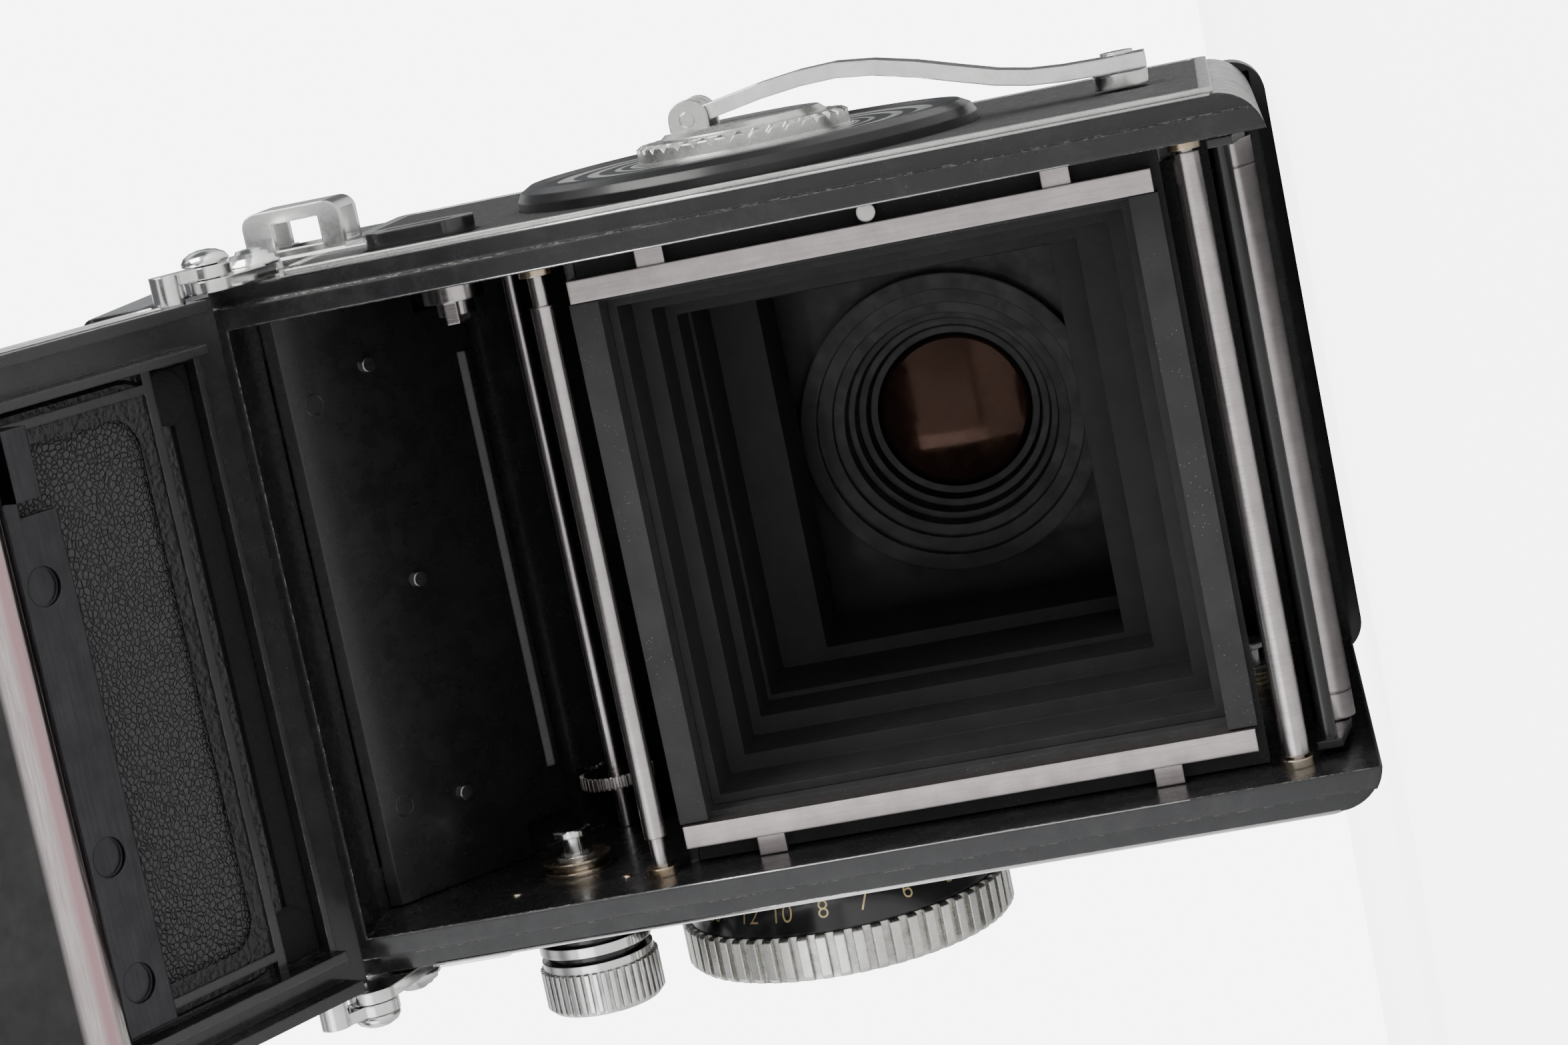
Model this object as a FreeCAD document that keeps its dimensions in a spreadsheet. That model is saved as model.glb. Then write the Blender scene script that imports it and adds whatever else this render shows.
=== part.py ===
import FreeCAD, Part
import Sketcher
import math
import os
import re

# Twin lens reflex roll-film camera, back cover swung open.
# Frame: +Z up, +Y towards the back of the camera, +X towards the focusing side (photographer's left).
# Origin: on the base plane, midway between the body's front and rear faces, under the lens axes.
App = FreeCAD
V = App.Vector
doc = App.newDocument("twin_lens_reflex")

# ------------------------------------------------------------------ driving dimensions (mm, degrees)
CELLS = [
    ("body_half", 37.5, "half width of the casting"),
    ("inner_half", 33.2, "half width between the casting walls"),
    ("skin", 0.5, "leatherette thickness"),
    ("body_front", -34.0, "front face of the casting"),
    ("body_rear", 34.0, "rear edge of the casting"),
    ("body_top", 110.0, "top of the casting"),
    ("film_y", 28.0, "film plane"),
    ("gate_z", 43.0, "taking lens axis height"),
    ("view_z", 85.0, "viewing lens axis height"),
    ("gate_half", 28.0, "half of the 56 mm picture opening"),
    ("rail_x", 29.75, "film rail centre line"),
    ("rail_wide", 2.4, "film rail width"),
    ("rail_long", 61.5, "film rail length"),
    ("roller_half", 31.9, "half length of the film rollers"),
    ("upper_roller_z", 76.8, "upper film roller height"),
    ("upper_roller_rad", 1.25, "upper film roller radius"),
    ("gate_roller_z", 8.5, "gate roller height"),
    ("gate_roller_rad", 1.45, "gate roller radius"),
    ("feeler_y", 16.0, "feeler roller position"),
    ("feeler_z", 3.9, "feeler roller height"),
    ("feeler_rad", 2.3, "feeler roller radius"),
    ("journal", 0.9, "roller journal radius"),
    ("journal_bore", 0.95, "roller bush bore radius"),
    ("takeup_y", 19.5, "take-up spool axis"),
    ("takeup_z", 87.5, "take-up spool axis"),
    ("supply_y", -15.0, "supply spool axis"),
    ("supply_z", 12.3, "supply spool axis"),
    ("mirror_c", 90.0, "height of the mirror plane at y 0"),
    ("crank_y", 4.0, "crank axis"),
    ("crank_z", 55.5, "crank axis"),
    ("crank_ring_rad", 25.6, "crank dial radius"),
    ("crank_hub_rad", 9.5, "crank hub radius"),
    ("focus_y", 10.0, "focusing axis"),
    ("focus_z", 60.6, "focusing axis"),
    ("focus_rad", 18.5, "focusing knob radius"),
    ("spool_knob_rad", 6.6, "spool knob radius"),
    ("hinge_y", 36.5, "back hinge axis"),
    ("hinge_z", 108.5, "back hinge axis"),
    ("door_open", 122.0, "angle of the open back"),
    ("door_half", 37.2, "half width of the back cover"),
    ("panel_half", 36.5, "half width of the lens panel"),
    ("panel_front", -43.0, "front face of the lens panel"),
    ("panel_back", -36.0, "rear edge of the lens panel"),
    ("panel_low", -1.6, "lower edge of the lens panel"),
    ("panel_high", 101.0, "upper edge of the lens panel"),
    ("hood_hinge_y", -34.0, "hood lid hinge axis"),
    ("hood_hinge_z", 116.6, "hood lid hinge axis"),
    ("gear_y", 2.6, "transfer shaft axis"),
    ("gear_z", 84.6, "transfer shaft axis"),
    ("tripod_y", 4.0, "tripod socket axis"),
    ("tripod_rad", 3.175, "quarter inch tripod thread, major radius"),
]
sheet = doc.addObject("Spreadsheet::Sheet", "Dims")
VAL = {}
for i, (alias, value, note) in enumerate(CELLS, start=1):
    sheet.set("A%d" % i, note)
    sheet.set("B%d" % i, str(value))
    sheet.setAlias("B%d" % i, alias)
    VAL[alias] = value
doc.recompute()
WORD = re.compile(r"[A-Za-z_][A-Za-z_0-9]*")


def ref(e):
    """An expression with every alias pointed at the sheet."""
    return WORD.sub(lambda k: "Dims." + k.group(0) if k.group(0) in VAL else k.group(0), str(e))


def num(e):
    """The value of an expression, from the sheet's cells."""
    text = str(e)
    total = WORD.sub(lambda k: repr(VAL[k.group(0)]), text)
    return float(sum_of(total))


def sum_of(text):
    # sums and differences of products, which is all that the sizes below need
    tokens = re.findall(r"\d+\.?\d*(?:[eE][-+]?\d+)?|[-+*/()]", text.replace(" ", ""))
    pos = [0]

    def atom():
        k = tokens[pos[0]]
        pos[0] += 1
        if k == "(":
            v = expr()
            pos[0] += 1
            return v
        if k == "-":
            return -atom()
        if k == "+":
            return atom()
        return float(k)

    def term():
        v = atom()
        while pos[0] < len(tokens) and tokens[pos[0]] in "*/":
            o = tokens[pos[0]]
            pos[0] += 1
            w = atom()
            v = v * w if o == "*" else v / w
        return v

    def expr():
        v = term()
        while pos[0] < len(tokens) and tokens[pos[0]] in "+-":
            o = tokens[pos[0]]
            pos[0] += 1
            w = term()
            v = v + w if o == "+" else v - w
        return v

    return expr()


def bind(obj, prop, e):
    if isinstance(e, (int, float)):
        if "." in prop:
            obj.setExpression(prop, repr(float(e)))
        else:
            setattr(obj, prop, e)
    else:
        obj.setExpression(prop, ref(e))


NODES = []


def node(name, obj, move=None):
    """Names a finished piece; move is a placement applied on top of its own."""
    obj.Label = name
    if move is not None:
        obj.Placement = move.multiply(obj.Placement)
    NODES.append((name, obj))
    return obj


def box(x0, y0, z0, x1, y1, z1):
    o = doc.addObject("Part::Box", "Box")
    for prop, a, b in (("Length", x0, x1), ("Width", y0, y1), ("Height", z0, z1)):
        bind(o, prop, "(%s)-(%s)" % (b, a))
    for prop, a in (("Placement.Base.x", x0), ("Placement.Base.y", y0), ("Placement.Base.z", z0)):
        bind(o, prop, "(%s)*1" % a)
    return o


TURN = {
    "+Z": App.Rotation(),
    "-Z": App.Rotation(V(1, 0, 0), 180),
    "+X": App.Rotation(V(0, 1, 0), 90),
    "-X": App.Rotation(V(0, 1, 0), -90),
    "+Y": App.Rotation(V(1, 0, 0), -90),
    "-Y": App.Rotation(V(1, 0, 0), 90),
}


def cyl(rad, high, at, axis="+X"):
    o = doc.addObject("Part::Cylinder", "Cylinder")
    o.Placement = App.Placement(V(0, 0, 0), TURN[axis])
    bind(o, "Radius", rad)
    bind(o, "Height", high)
    for prop, a in zip(("Placement.Base.x", "Placement.Base.y", "Placement.Base.z"), at):
        bind(o, prop, "(%s)*1" % a)
    return o


def cone(r1, r2, high, at, axis="+X"):
    o = doc.addObject("Part::Cone", "Cone")
    o.Placement = App.Placement(V(0, 0, 0), TURN[axis])
    bind(o, "Radius1", r1)
    bind(o, "Radius2", r2)
    bind(o, "Height", high)
    for prop, a in zip(("Placement.Base.x", "Placement.Base.y", "Placement.Base.z"), at):
        bind(o, prop, "(%s)*1" % a)
    return o


def fuse(*objs):
    objs = [o for o in objs]
    if len(objs) == 1:
        return objs[0]
    o = doc.addObject("Part::MultiFuse", "Fuse")
    o.Shapes = objs
    o.Refine = True
    return o


def cut(a, *tools):
    tool = tools[0] if len(tools) == 1 else fuse(*tools)
    o = doc.addObject("Part::Cut", "Cut")
    o.Base = a
    o.Tool = tool
    o.Refine = True
    return o


def group(*objs):
    """Separate solids in one piece's node."""
    o = doc.addObject("Part::Compound", "Group")
    o.Links = list(objs)
    return o


def fillet(obj, rad, pick):
    """Rounds the edges that pick(edge) accepts."""
    doc.recompute()
    o = doc.addObject("Part::Fillet", "Fillet")
    o.Base = obj
    o.Edges = [(i + 1, rad, rad) for i, e in enumerate(obj.Shape.Edges) if pick(e)]
    if not o.Edges:
        raise RuntimeError("no edge to round on " + obj.Label)
    return o


def along(axis, **near):
    """Accepts straight edges along an axis, whose middle is near the given coordinates."""

    def pick(e):
        if e.Curve.TypeId != "Part::GeomLine":
            return False
        d = e.Vertexes[-1].Point - e.Vertexes[0].Point
        d.normalize()
        if abs(getattr(d, axis)) < 0.999:
            return False
        m = (e.Vertexes[-1].Point + e.Vertexes[0].Point) * 0.5
        return all(any(abs(getattr(m, k) - w) < 0.05 for w in (v if isinstance(v, (list, tuple)) else [v])) for k, v in near.items())

    return pick


def sketch(body, role, points, name):
    """A closed polyline whose corners are held by dimensions bound to the sheet. role is an origin plane."""
    plane = [f for f in body.Origin.OriginFeatures if f.Role == role][0]
    s = body.newObject("Sketcher::SketchObject", name)
    s.AttachmentSupport = (plane, [""])
    s.MapMode = "FlatFace"
    xy = [(num(a), num(b)) for a, b in points]
    n = len(xy)
    for i in range(n):
        a, b = xy[i], xy[(i + 1) % n]
        s.addGeometry(Part.LineSegment(V(a[0], a[1], 0), V(b[0], b[1], 0)), False)
    for i in range(n):
        s.addConstraint(Sketcher.Constraint("Coincident", i, 2, (i + 1) % n, 1))
    for i, (a, b) in enumerate(points):
        for kind, e, other in (("DistanceX", a, -2), ("DistanceY", b, -1)):
            v = num(e)
            if abs(v) < 1e-9:
                s.addConstraint(Sketcher.Constraint("PointOnObject", i, 1, other))
            else:
                k = s.addConstraint(Sketcher.Constraint(kind, i, 1, v))
                if isinstance(e, str):
                    s.setExpression("Constraints[%d]" % k, ref(e))
    return s


def turned(points, axis, at):
    """A body of revolution: points are (distance along the axis, radius)."""
    body = doc.addObject("PartDesign::Body", "Turned")
    s = sketch(body, "XY_Plane", points, "Profile")
    rev = body.newObject("PartDesign::Revolution", "Revolution")
    rev.Profile = s
    x_axis = [f for f in body.Origin.OriginFeatures if f.Role == "X_Axis"][0]
    rev.ReferenceAxis = (x_axis, [""])
    rev.Angle = 360.0
    body.Tip = rev
    turn = {
        "+X": App.Rotation(),
        "-X": App.Rotation(V(0, 0, 1), 180),
        "+Y": App.Rotation(V(0, 0, 1), 90),
        "-Y": App.Rotation(V(0, 0, 1), -90),
        "+Z": App.Rotation(V(0, 1, 0), -90),
        "-Z": App.Rotation(V(0, 1, 0), 90),
    }[axis]
    body.Placement = App.Placement(V(0, 0, 0), turn)
    for prop, a in zip(("Placement.Base.x", "Placement.Base.y", "Placement.Base.z"), at):
        bind(body, prop, "(%s)*1" % a)
    return body


def flutes(rad, depth, wide, x0, x1, count, at, axis):
    """Grooves round a knob's rim, as one cutting shape."""
    shapes = []
    for i in range(count):
        b = Part.makeBox(num(x1) - num(x0), 2 * depth, wide, V(num(x0), num(rad) - depth, -wide / 2.0))
        b.rotate(V(0, 0, 0), V(1, 0, 0), 360.0 * i / count)
        shapes.append(b)
    o = doc.addObject("Part::Feature", "Flutes")
    o.Shape = Part.makeCompound(shapes)
    turn = {"+X": App.Rotation(), "-X": App.Rotation(V(0, 0, 1), 180), "-Y": App.Rotation(V(0, 0, 1), -90), "+Y": App.Rotation(V(0, 0, 1), 90)}[axis]
    o.Placement = App.Placement(V(*[num(a) for a in at]), turn)
    return o


def padded(role, points, t0, t1, label="Plate"):
    """A sketch padded from t0 to t1 along the plane's normal. Planes: XY (x, y), XZ (x, z), YZ (y, z)."""
    body = doc.addObject("PartDesign::Body", label)
    s = sketch(body, role, points, "Outline")
    pad = body.newObject("PartDesign::Pad", "Pad")
    pad.Profile = s
    bind(pad, "Length", "(%s)-(%s)" % (t1, t0))
    body.Tip = pad
    prop = {"XY_Plane": "Placement.Base.z", "XZ_Plane": "Placement.Base.y", "YZ_Plane": "Placement.Base.x"}[role]
    start = "(%s)*1" % (t0 if role != "XZ_Plane" else t1)
    bind(body, prop, start)
    return body


# ------------------------------------------------------------------ chassis
shell = box("-body_half", "body_front", 0, "body_half", "body_rear", "body_top")
shell = fillet(shell, 5.0, along("y", z=0.0))
hollow = box("-inner_half", "body_front+2", -1, "inner_half", "body_rear+1", "body_top-1.5")
screen_hole = box(-28.5, -32.5, 107, 28.5, 23, 111)
light_hole = box(-22.05, -35, 24.55, 22.05, -31, 61.65)
view_hole = cyl(15, 4, (0, -35, "view_z"), "+Y")
axle_holes = [cyl(3.05, 8, (-39, "crank_y", "crank_z"), "+X"), cyl(3.05, 8, (31, "focus_y", "focus_z"), "+X")]
rod_holes = [cyl(1.55, 6, (x, -36, z), "+Y") for x in (-27, 27) for z in (34, 56)]
takeup_bore = cyl(2.2, 8, (31, "takeup_y", "takeup_z"), "+X")
supply_bore = cyl(2.2, 8, (31, "supply_y", "supply_z"), "+X")
key_bore = cyl(2.05, 8, (-38, "takeup_y", "takeup_z"), "+X")
steps_out = [box("-body_half-1", "body_rear-1.1", -1, "-body_half+2", "body_rear+1", 112), box("body_half-2", "body_rear-1.1", -1, "body_half+1", "body_rear+1", 112)]
chassis = cut(shell, hollow, *steps_out, screen_hole, light_hole, view_hole, *rod_holes, *axle_holes, takeup_bore, supply_bore, key_bore)
ledge = box("-inner_half", "body_front+2", 0, "inner_half", -28.2, 1.5)
partition = box("-inner_half", -13.6, 73.2, "inner_half", 24.95, 74.2)
shelf = doc.addObject("Part::Box", "Shelf")
bind(shelf, "Length", "2*inner_half")
bind(shelf, "Width", 62.0)
bind(shelf, "Height", 0.85)
# the shelf lies under the mirror, square to its normal
shelf.Placement = App.Placement(V(-33.2, -26, 64), App.Rotation(V(1, 0, 0), 45))
shelf.Placement.Base = V(-33.2, -26.0, 64.0) + V(0, 1, -1) * (2.1 / math.sqrt(2.0))
shelf_cut = cut(shelf, cyl(4.6, 2.8, (25.9, "gear_y", "gear_z"), "+X"))
node("body_casting", fuse(chassis, ledge, partition, shelf_cut))

wall = padded("YZ_Plane", [(5.0, 90.6), (5.5, 90.1), (22.4, 107.0), (22.4, 108.45), (21.9, 108.45)], -33.1, 33.1, "ChamberWall")
wall = cut(fuse(wall, padded("YZ_Plane", [(5.0, 90.6), (5.5, 90.1), (6.5, 90.5), (6.8, 91.4)], -24, 24, "Ridge")), cyl(5.6, 4.6, (-34, 7.2, 89.5), "+X"), cyl(5.6, 4.6, (29.4, 7.2, 89.5), "+X"))
node("takeup_chamber_wall", wall)

gate_plate = cut(
    box("-inner_half+0.1", 22.5, 11.3, "inner_half-0.1", 25, 73.1),
    box("-gate_half", 22, "gate_z-gate_half", "gate_half", 26, "gate_z+gate_half"),
)
bars = [box(-28.4, 25, 71, 28.4, "film_y-0.8", 74.1), box(-28.4, 25, 11.9, 28.4, "film_y-0.8", 15)]
node("film_gate_frame", fuse(gate_plate, *bars))

rails = []
for s in (-1, 1):
    lo, hi = ("rail_x-rail_wide/2", "rail_x+rail_wide/2") if s > 0 else ("-rail_x-rail_wide/2", "-rail_x+rail_wide/2")
    rail = box(lo, 25.02, "gate_z-rail_long/2", hi, "film_y", "gate_z+rail_long/2")
    tx = ("rail_x+rail_wide/2-0.3", 33.1) if s > 0 else (-33.1, "-rail_x-rail_wide/2+0.3")
    tabs = [box(tx[0], 25.9, z, tx[1], 27.5, z + 3) for z in (63.2, 20.4)]
    rails.append(fuse(rail, *tabs))
node("film_rails", group(*rails))

steps = [((28, 15, 71), (12, 22.4), (27, 16, 70), (13, 23)), ((26.2, 17, 69), (3, 12.2), (25.2, 18, 68), (4, 13.2)),
         ((24.2, 21, 67.8), (-5, 3.2), (23.2, 22, 66.8), (-4, 4.2)), ((23.4, 24.6, 67.2), (-19, -4.8), (22.6, 25.3, 66.4), (-18, -3.9)),
         ((22, 24.6, 61.6), (-33.6, -18.8), (21, 25.3, 60.8), (-35, -17.9))]
node("light_tunnel", cut(fuse(*[box(-a[0], y[0], a[1], a[0], y[1], a[2]) for a, y, b, w in steps]),
                         fuse(*[box(-b[0], w[0], b[1], b[0], w[1], b[2]) for a, y, b, w in steps])))

trims = []
for s, name in ((-1, "crank"), (1, "focus")):
    x0, x1 = ("-body_half-skin", "-body_half") if s < 0 else ("body_half", "body_half+skin")
    x2 = "-body_half-skin-0.1" if s < 0 else "body_half"
    x3 = "-body_half" if s < 0 else "body_half+skin+0.1"
    hide = fillet(box(x0, "body_front+4.5", 6.0, x1, 30.0, 101.5), 0.9, along("x"))
    strip = cut(fillet(box(x2, "body_front+3.1", 4.6, x3, 31.4, 102.9), 1.6, along("x")), fillet(box(-40 if s < 0 else 36, "body_front+4.5", 6.0, -36 if s < 0 else 40, 30.0, 101.5), 0.9, along("x")))
    if s < 0:
        holes = [cyl("crank_ring_rad+0.1", 4, (-39, "crank_y", "crank_z"), "+X"), box(-39, 20.9, 82.6, -37, 27.1, 94.6), box(-39, 8.9, 91.4, -37, 19.1, 112), cyl(3.2, 4, (-39, 28.6, 104.0), "+X")]
    else:
        holes = [cyl(16.6, 4, (36, "focus_y", "focus_z"), "+X"), cyl(7.0, 4, (36, "takeup_y", "takeup_z"), "+X"),
                 cyl(7.0, 4, (36, "supply_y", "supply_z"), "+X"), box(36, 1.9, 91.4, 39, 12.1, 112), cyl(3.2, 4, (36, 28.6, 104.0), "+X")]
    node("leatherette_" + name, cut(hide, *holes))
    trims.append(cut(strip, *([box(-39, 8.9, 91.4, -37, 19.1, 112), cyl(3.2, 4, (-39, 28.6, 104.0), "+X")] if s < 0 else [box(36, 1.9, 91.4, 39, 12.1, 112), cyl(3.2, 4, (36, 28.6, 104.0), "+X")])))
node("trim_strips", group(*trims))

# bearing bushes for the three film rollers, and the flanged bushes of the spool pins
bushes = []
for y, z in (("film_y", "upper_roller_z"), ("film_y", "gate_roller_z")):
    for s in (-1, 1):
        x0 = -33.2 if s < 0 else 32.2
        bushes.append(cut(cyl(1.7, 1.0, (x0, y, z), "+X"), cyl("journal_bore", 3, (x0 - 1, y, z), "+X")))
for y, z in (("takeup_y", "takeup_z"), ("supply_y", "supply_z")):
    bushes.append(cut(fuse(cyl(3.8, 0.5, (32.7, y, z), "+X"), cyl(2.9, 1.3, (31.9, y, z), "+X"), cyl(3.8, 0.4, (31.6, y, z), "+X")), cyl(2.15, 4, (30, y, z), "+X")))
node("roller_bushings", group(*bushes))

glass = doc.addObject("Part::Box", "Mirror")
bind(glass, "Length", 58.0)
bind(glass, "Width", 60.0)
bind(glass, "Height", 1.2)
glass.Placement = App.Placement(V(-29, -26, 64) + V(0, 1, -1) * (1.22 / math.sqrt(2.0)), App.Rotation(V(1, 0, 0), 45))
node("reflex_mirror", glass)
node("focusing_screen", box(-28.9, -31.9, 110.02, 28.9, 23.2, 111.6))

hood_ring = cut(box(-36.4, -33.8, "body_top", 36.4, 31.4, 116.2), box(-29, -32, 109, 29, 23.3, 117))
node("hood_frame", hood_ring)
node("front_nameplate", fillet(box(-20, -35.2, 103, 20, -34, 109), 1.2, along("y")))

screws = []
# domed screws through the inclined chamber wall
for x, y in ((-25.3, 15.0), (-1.0, 14.7), (23.5, 14.8)):
    head = cyl(0.85, 0.5, (0, 0, 0), "+Z")
    for prop in ("x", "y", "z"):
        head.setExpression("Placement.Base." + prop, None)
    n = V(0, 1, -1) / math.sqrt(2.0)
    head.Placement = App.Placement(V(x, y, y + 84.6), App.Rotation(V(0, 0, 1), n))
    screws.append(head)
screws.append(cyl(1.0, 2.0, (-32.05, 25.02, 41.7), "+Y"))
node("chamber_screws", group(*screws))

# ------------------------------------------------------------------ rollers and film transport
def roller(rad, half, z, y, neck):
    return turned([("-roller_half-1.1", 0), ("-roller_half-1.1", "journal"), ("-roller_half+%s" % neck, "journal"),
                   ("-roller_half+%s" % neck, rad), ("roller_half-%s" % neck, rad), ("roller_half-%s" % neck, "journal"),
                   ("roller_half+1.1", "journal"), ("roller_half+1.1", 0)], "+X", (0, y, z))


node("upper_film_roller", roller("upper_roller_rad", "roller_half", "upper_roller_z", "film_y", 2.9))
node("gate_roller", roller("gate_roller_rad", "roller_half", "gate_roller_z", "film_y", 0.0))
node("feeler_roller", turned([(-32.4, 0), (-32.4, "journal"), (-31.5, "journal"), (-31.5, "feeler_rad"), (-28.7, "feeler_rad"), (-28.7, "feeler_rad-0.25"), (-28.5, "feeler_rad-0.25"),
                              (-28.5, "feeler_rad"), (28.5, "feeler_rad"), (28.5, "feeler_rad-0.25"), (28.7, "feeler_rad-0.25"), (28.7, "feeler_rad"), (31.5, "feeler_rad"),
                              (31.5, "journal"), (32.4, "journal"), (32.4, 0)], "+X", (0, "feeler_y", "feeler_z")))
arms = []
for s in (-1, 1):
    x0, x1 = (-32.5, -31.6) if s < 0 else (31.6, 32.5)
    arm = padded("YZ_Plane", [(14.6, 2.2), (17.4, 2.2), (25.9, 3.6), (25.9, 6.2), (17.4, 5.6), (14.6, 5.6)], x0, x1, "Arm")
    eye = cut(fuse(arm, cyl(1.75, 0.9, (x0, "feeler_y", "feeler_z"), "+X")), cyl("journal_bore", 3, (x0 - 1, "feeler_y", "feeler_z"), "+X"))
    arms.append(eye)
node("feeler_bracket", fuse(arms[0], arms[1], cyl(0.9, 65.0, (-32.5, 24.6, 4.9), "+X")))

transfer = turned([(-33.15, 0), (-33.15, 1.0), (26.6, 1.0), (26.6, 4.3), (28.0, 4.3), (28.0, 1.0), (33.15, 1.0), (33.15, 0)], "+X", (0, "gear_y", "gear_z"))
node("transfer_shaft", cut(transfer, flutes(4.3, 0.5, 0.4, 26.3, 28.3, 38, (0, "gear_y", "gear_z"), "+X")))

key = fuse(cyl(3.4, 2.4, (-33.15, "takeup_y", "takeup_z"), "+X"), cyl(2.0, 4.2, (-37.2, "takeup_y", "takeup_z"), "+X"), cyl(2.1, 1.6, (-30.8, "takeup_y", "takeup_z"), "+X"),
           box(-30.8, "takeup_y-3.1", "takeup_z-0.7", -28.4, "takeup_y+3.1", "takeup_z+0.7"))
node("takeup_drive_key", key)
pivot = turned([(-33.2, 0), (-33.2, 3.2), (-31.6, 3.2), (-31.6, 2.1), (-28.6, 2.1), (-28.2, 1.7), (-28.2, 0)], "+X", (0, "supply_y", "supply_z"))
node("supply_pivot", pivot)
for who, y, z in (("takeup", "takeup_y", "takeup_z"), ("supply", "supply_y", "supply_z")):
    prof = [(28.4, 0), (28.4, 1.9), (28.6, 2.1), (29.2, 2.1), (29.2, 1.35), (31.3, 1.35), (31.3, 2.1), (38.05, 2.1), (38.05, 6.2), (39.6, 6.2), (39.6, 5.5), (40.4, 5.5),
            (40.4, 6.2), (41.6, 6.2), (41.6, 5.5), (42.4, 5.5), (42.4, 6.2), (43.4, 6.2), (43.4, "spool_knob_rad"), (47.6, "spool_knob_rad"), (48.2, 6.0), (48.2, 0)]
    knob = turned(prof, "+X", (0, y, z))
    node(who + "_knob", cut(knob, flutes("spool_knob_rad", 0.35, 0.45, 43.4, 48.4, 44, (0, y, z), "+X")))

# ------------------------------------------------------------------ crank side
cy = (0, "crank_y", "crank_z")
ring = turned([(37.5, 12.3), (37.5, "crank_ring_rad"), (39.0, "crank_ring_rad"), (39.9, "crank_ring_rad-0.5"), (40.5, "crank_ring_rad-1.6"), (40.6, "crank_ring_rad-2.8"), (40.2, "crank_ring_rad-3.4"),
               (40.2, 12.3)], "-X", cy)
node("crank_dial_ring", ring)
dial = turned([(37.55, 9.56), (37.55, 12.2), (40.4, 12.2), (40.4, 11.8), (41.9, 11.8), (42.2, 11.3), (42.2, 9.56)], "-X", cy)
teeth = doc.addObject("Part::Feature", "Teeth")
cuts = []
for i in range(36):
    w = Part.makePolygon([V(41.4, 0, 0), V(42.4, -0.95, 0), V(42.4, 0.95, 0), V(41.4, 0, 0)])
    f = Part.Face(w).extrude(V(0, 0, 2.4))
    f.translate(V(0, 0, 10.6))
    f.rotate(V(0, 0, 0), V(1, 0, 0), 10.0 * i)
    cuts.append(f)
teeth.Shape = Part.makeCompound(cuts)
teeth.Placement = App.Placement(V(0, VAL["crank_y"], VAL["crank_z"]), App.Rotation(V(0, 0, 1), 180))
node("speed_reminder_dial", cut(dial, teeth))
hub = turned([(36.1, 0), (36.1, 3.0), (38.2, 3.0), (38.2, "crank_hub_rad"), (42.4, "crank_hub_rad"), (43.0, "crank_hub_rad-0.7"), (43.0, 0)], "-X", cy)
ears = [fuse(box(-44.2, y0, 58.4, -42.6, y0 + "+1.3", 62.6), cyl(2.1, 1.3, (-44.2, y0, 60.5), "+Y")) for y0 in ("crank_y-5.1", "crank_y+3.8")]
slot = box(-46, "crank_y-3.8", 58.2, -42.2, "crank_y+3.8", 66.5)
pin = cyl(0.8, 10.6, (-44.2, "crank_y-5.3", 60.5), "+Y")
node("crank_hub", fuse(cut(fuse(hub, *ears), slot), pin))
line = [(-44.2, 60.5), (-44.8, 57.0), (-45.6, 52.5), (-46.1, 48.0), (-46.2, 44.0), (-45.7, 40.0), (-44.6, 35.5), (-43.2, 31.0), (-42.0, 27.0), (-41.3, 23.5), (-41.0, 20.0), (-40.9, 16.0), (-40.9, 11.0)]
left, right = [], []
for i, p in enumerate(line):
    a, b = line[max(i - 1, 0)], line[min(i + 1, len(line) - 1)]
    dx, dz = b[0] - a[0], b[1] - a[1]
    n = math.hypot(dx, dz)
    h = 0.85
    left.append((round(p[0] - dz / n * h, 3), round(p[1] + dx / n * h, 3)))
    right.append((round(p[0] + dz / n * h, 3), round(p[1] - dx / n * h, 3)))
arm = padded("XZ_Plane", left + right[::-1], "crank_y-3.1", "crank_y+3.1", "CrankArm")
arm = cut(fuse(arm, cyl(1.75, 7.2, (-44.2, "crank_y-3.6", 60.5), "+Y")), cyl(0.85, 9, (-44.2, "crank_y-4.5", 60.5), "+Y"), cyl(1.05, 6, (-43, "crank_y", 14), "+X"))
node("crank_arm", arm)
node("crank_handle", fuse(cyl(3.0, 1.55, (-39.9, "crank_y", 14), "+X"), cyl(1.0, 2.2, (-41.9, "crank_y", 14), "+X"), cyl(1.8, 0.35, (-42.2, "crank_y", 14), "+X")))
win = fillet(box(-39.7, 21, 82.7, "-body_half", 27, 94.5), 2.9, along("x"))
node("counter_window", cut(win, box(-40, 22.9, 85.0, -39.0, 25.1, 92.2)))

# ------------------------------------------------------------------ strap lugs and hinge
lugs = []
for s in (-1, 1):
    y0 = 14 if s < 0 else 7

    def bx(u0, y_0, z_0, u1, y_1, z_1, s=s):
        return box(min(s * u0, s * u1), y_0, z_0, max(s * u0, s * u1), y_1, z_1)

    base = fillet(bx(37.5, y0 - 5.0, 91.5, 38.5, y0 + 5.0, 109.4), 4.2, along("x"))
    bridge = cut(fillet(bx(38.0, y0 - 4.2, 98.2, 43.8, y0 + 4.2, 109.0), 1.6, along("y", x=s * 43.8)), bx(39.2, y0 - 3.0, 97.0, 42.5, y0 + 3.0, 107.4), bx(39.4, y0 - 5, 100.6, 42.3, y0 + 5, 105.8))
    lugs.append(fuse(base, bridge))
node("strap_lugs", group(*lugs))

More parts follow.
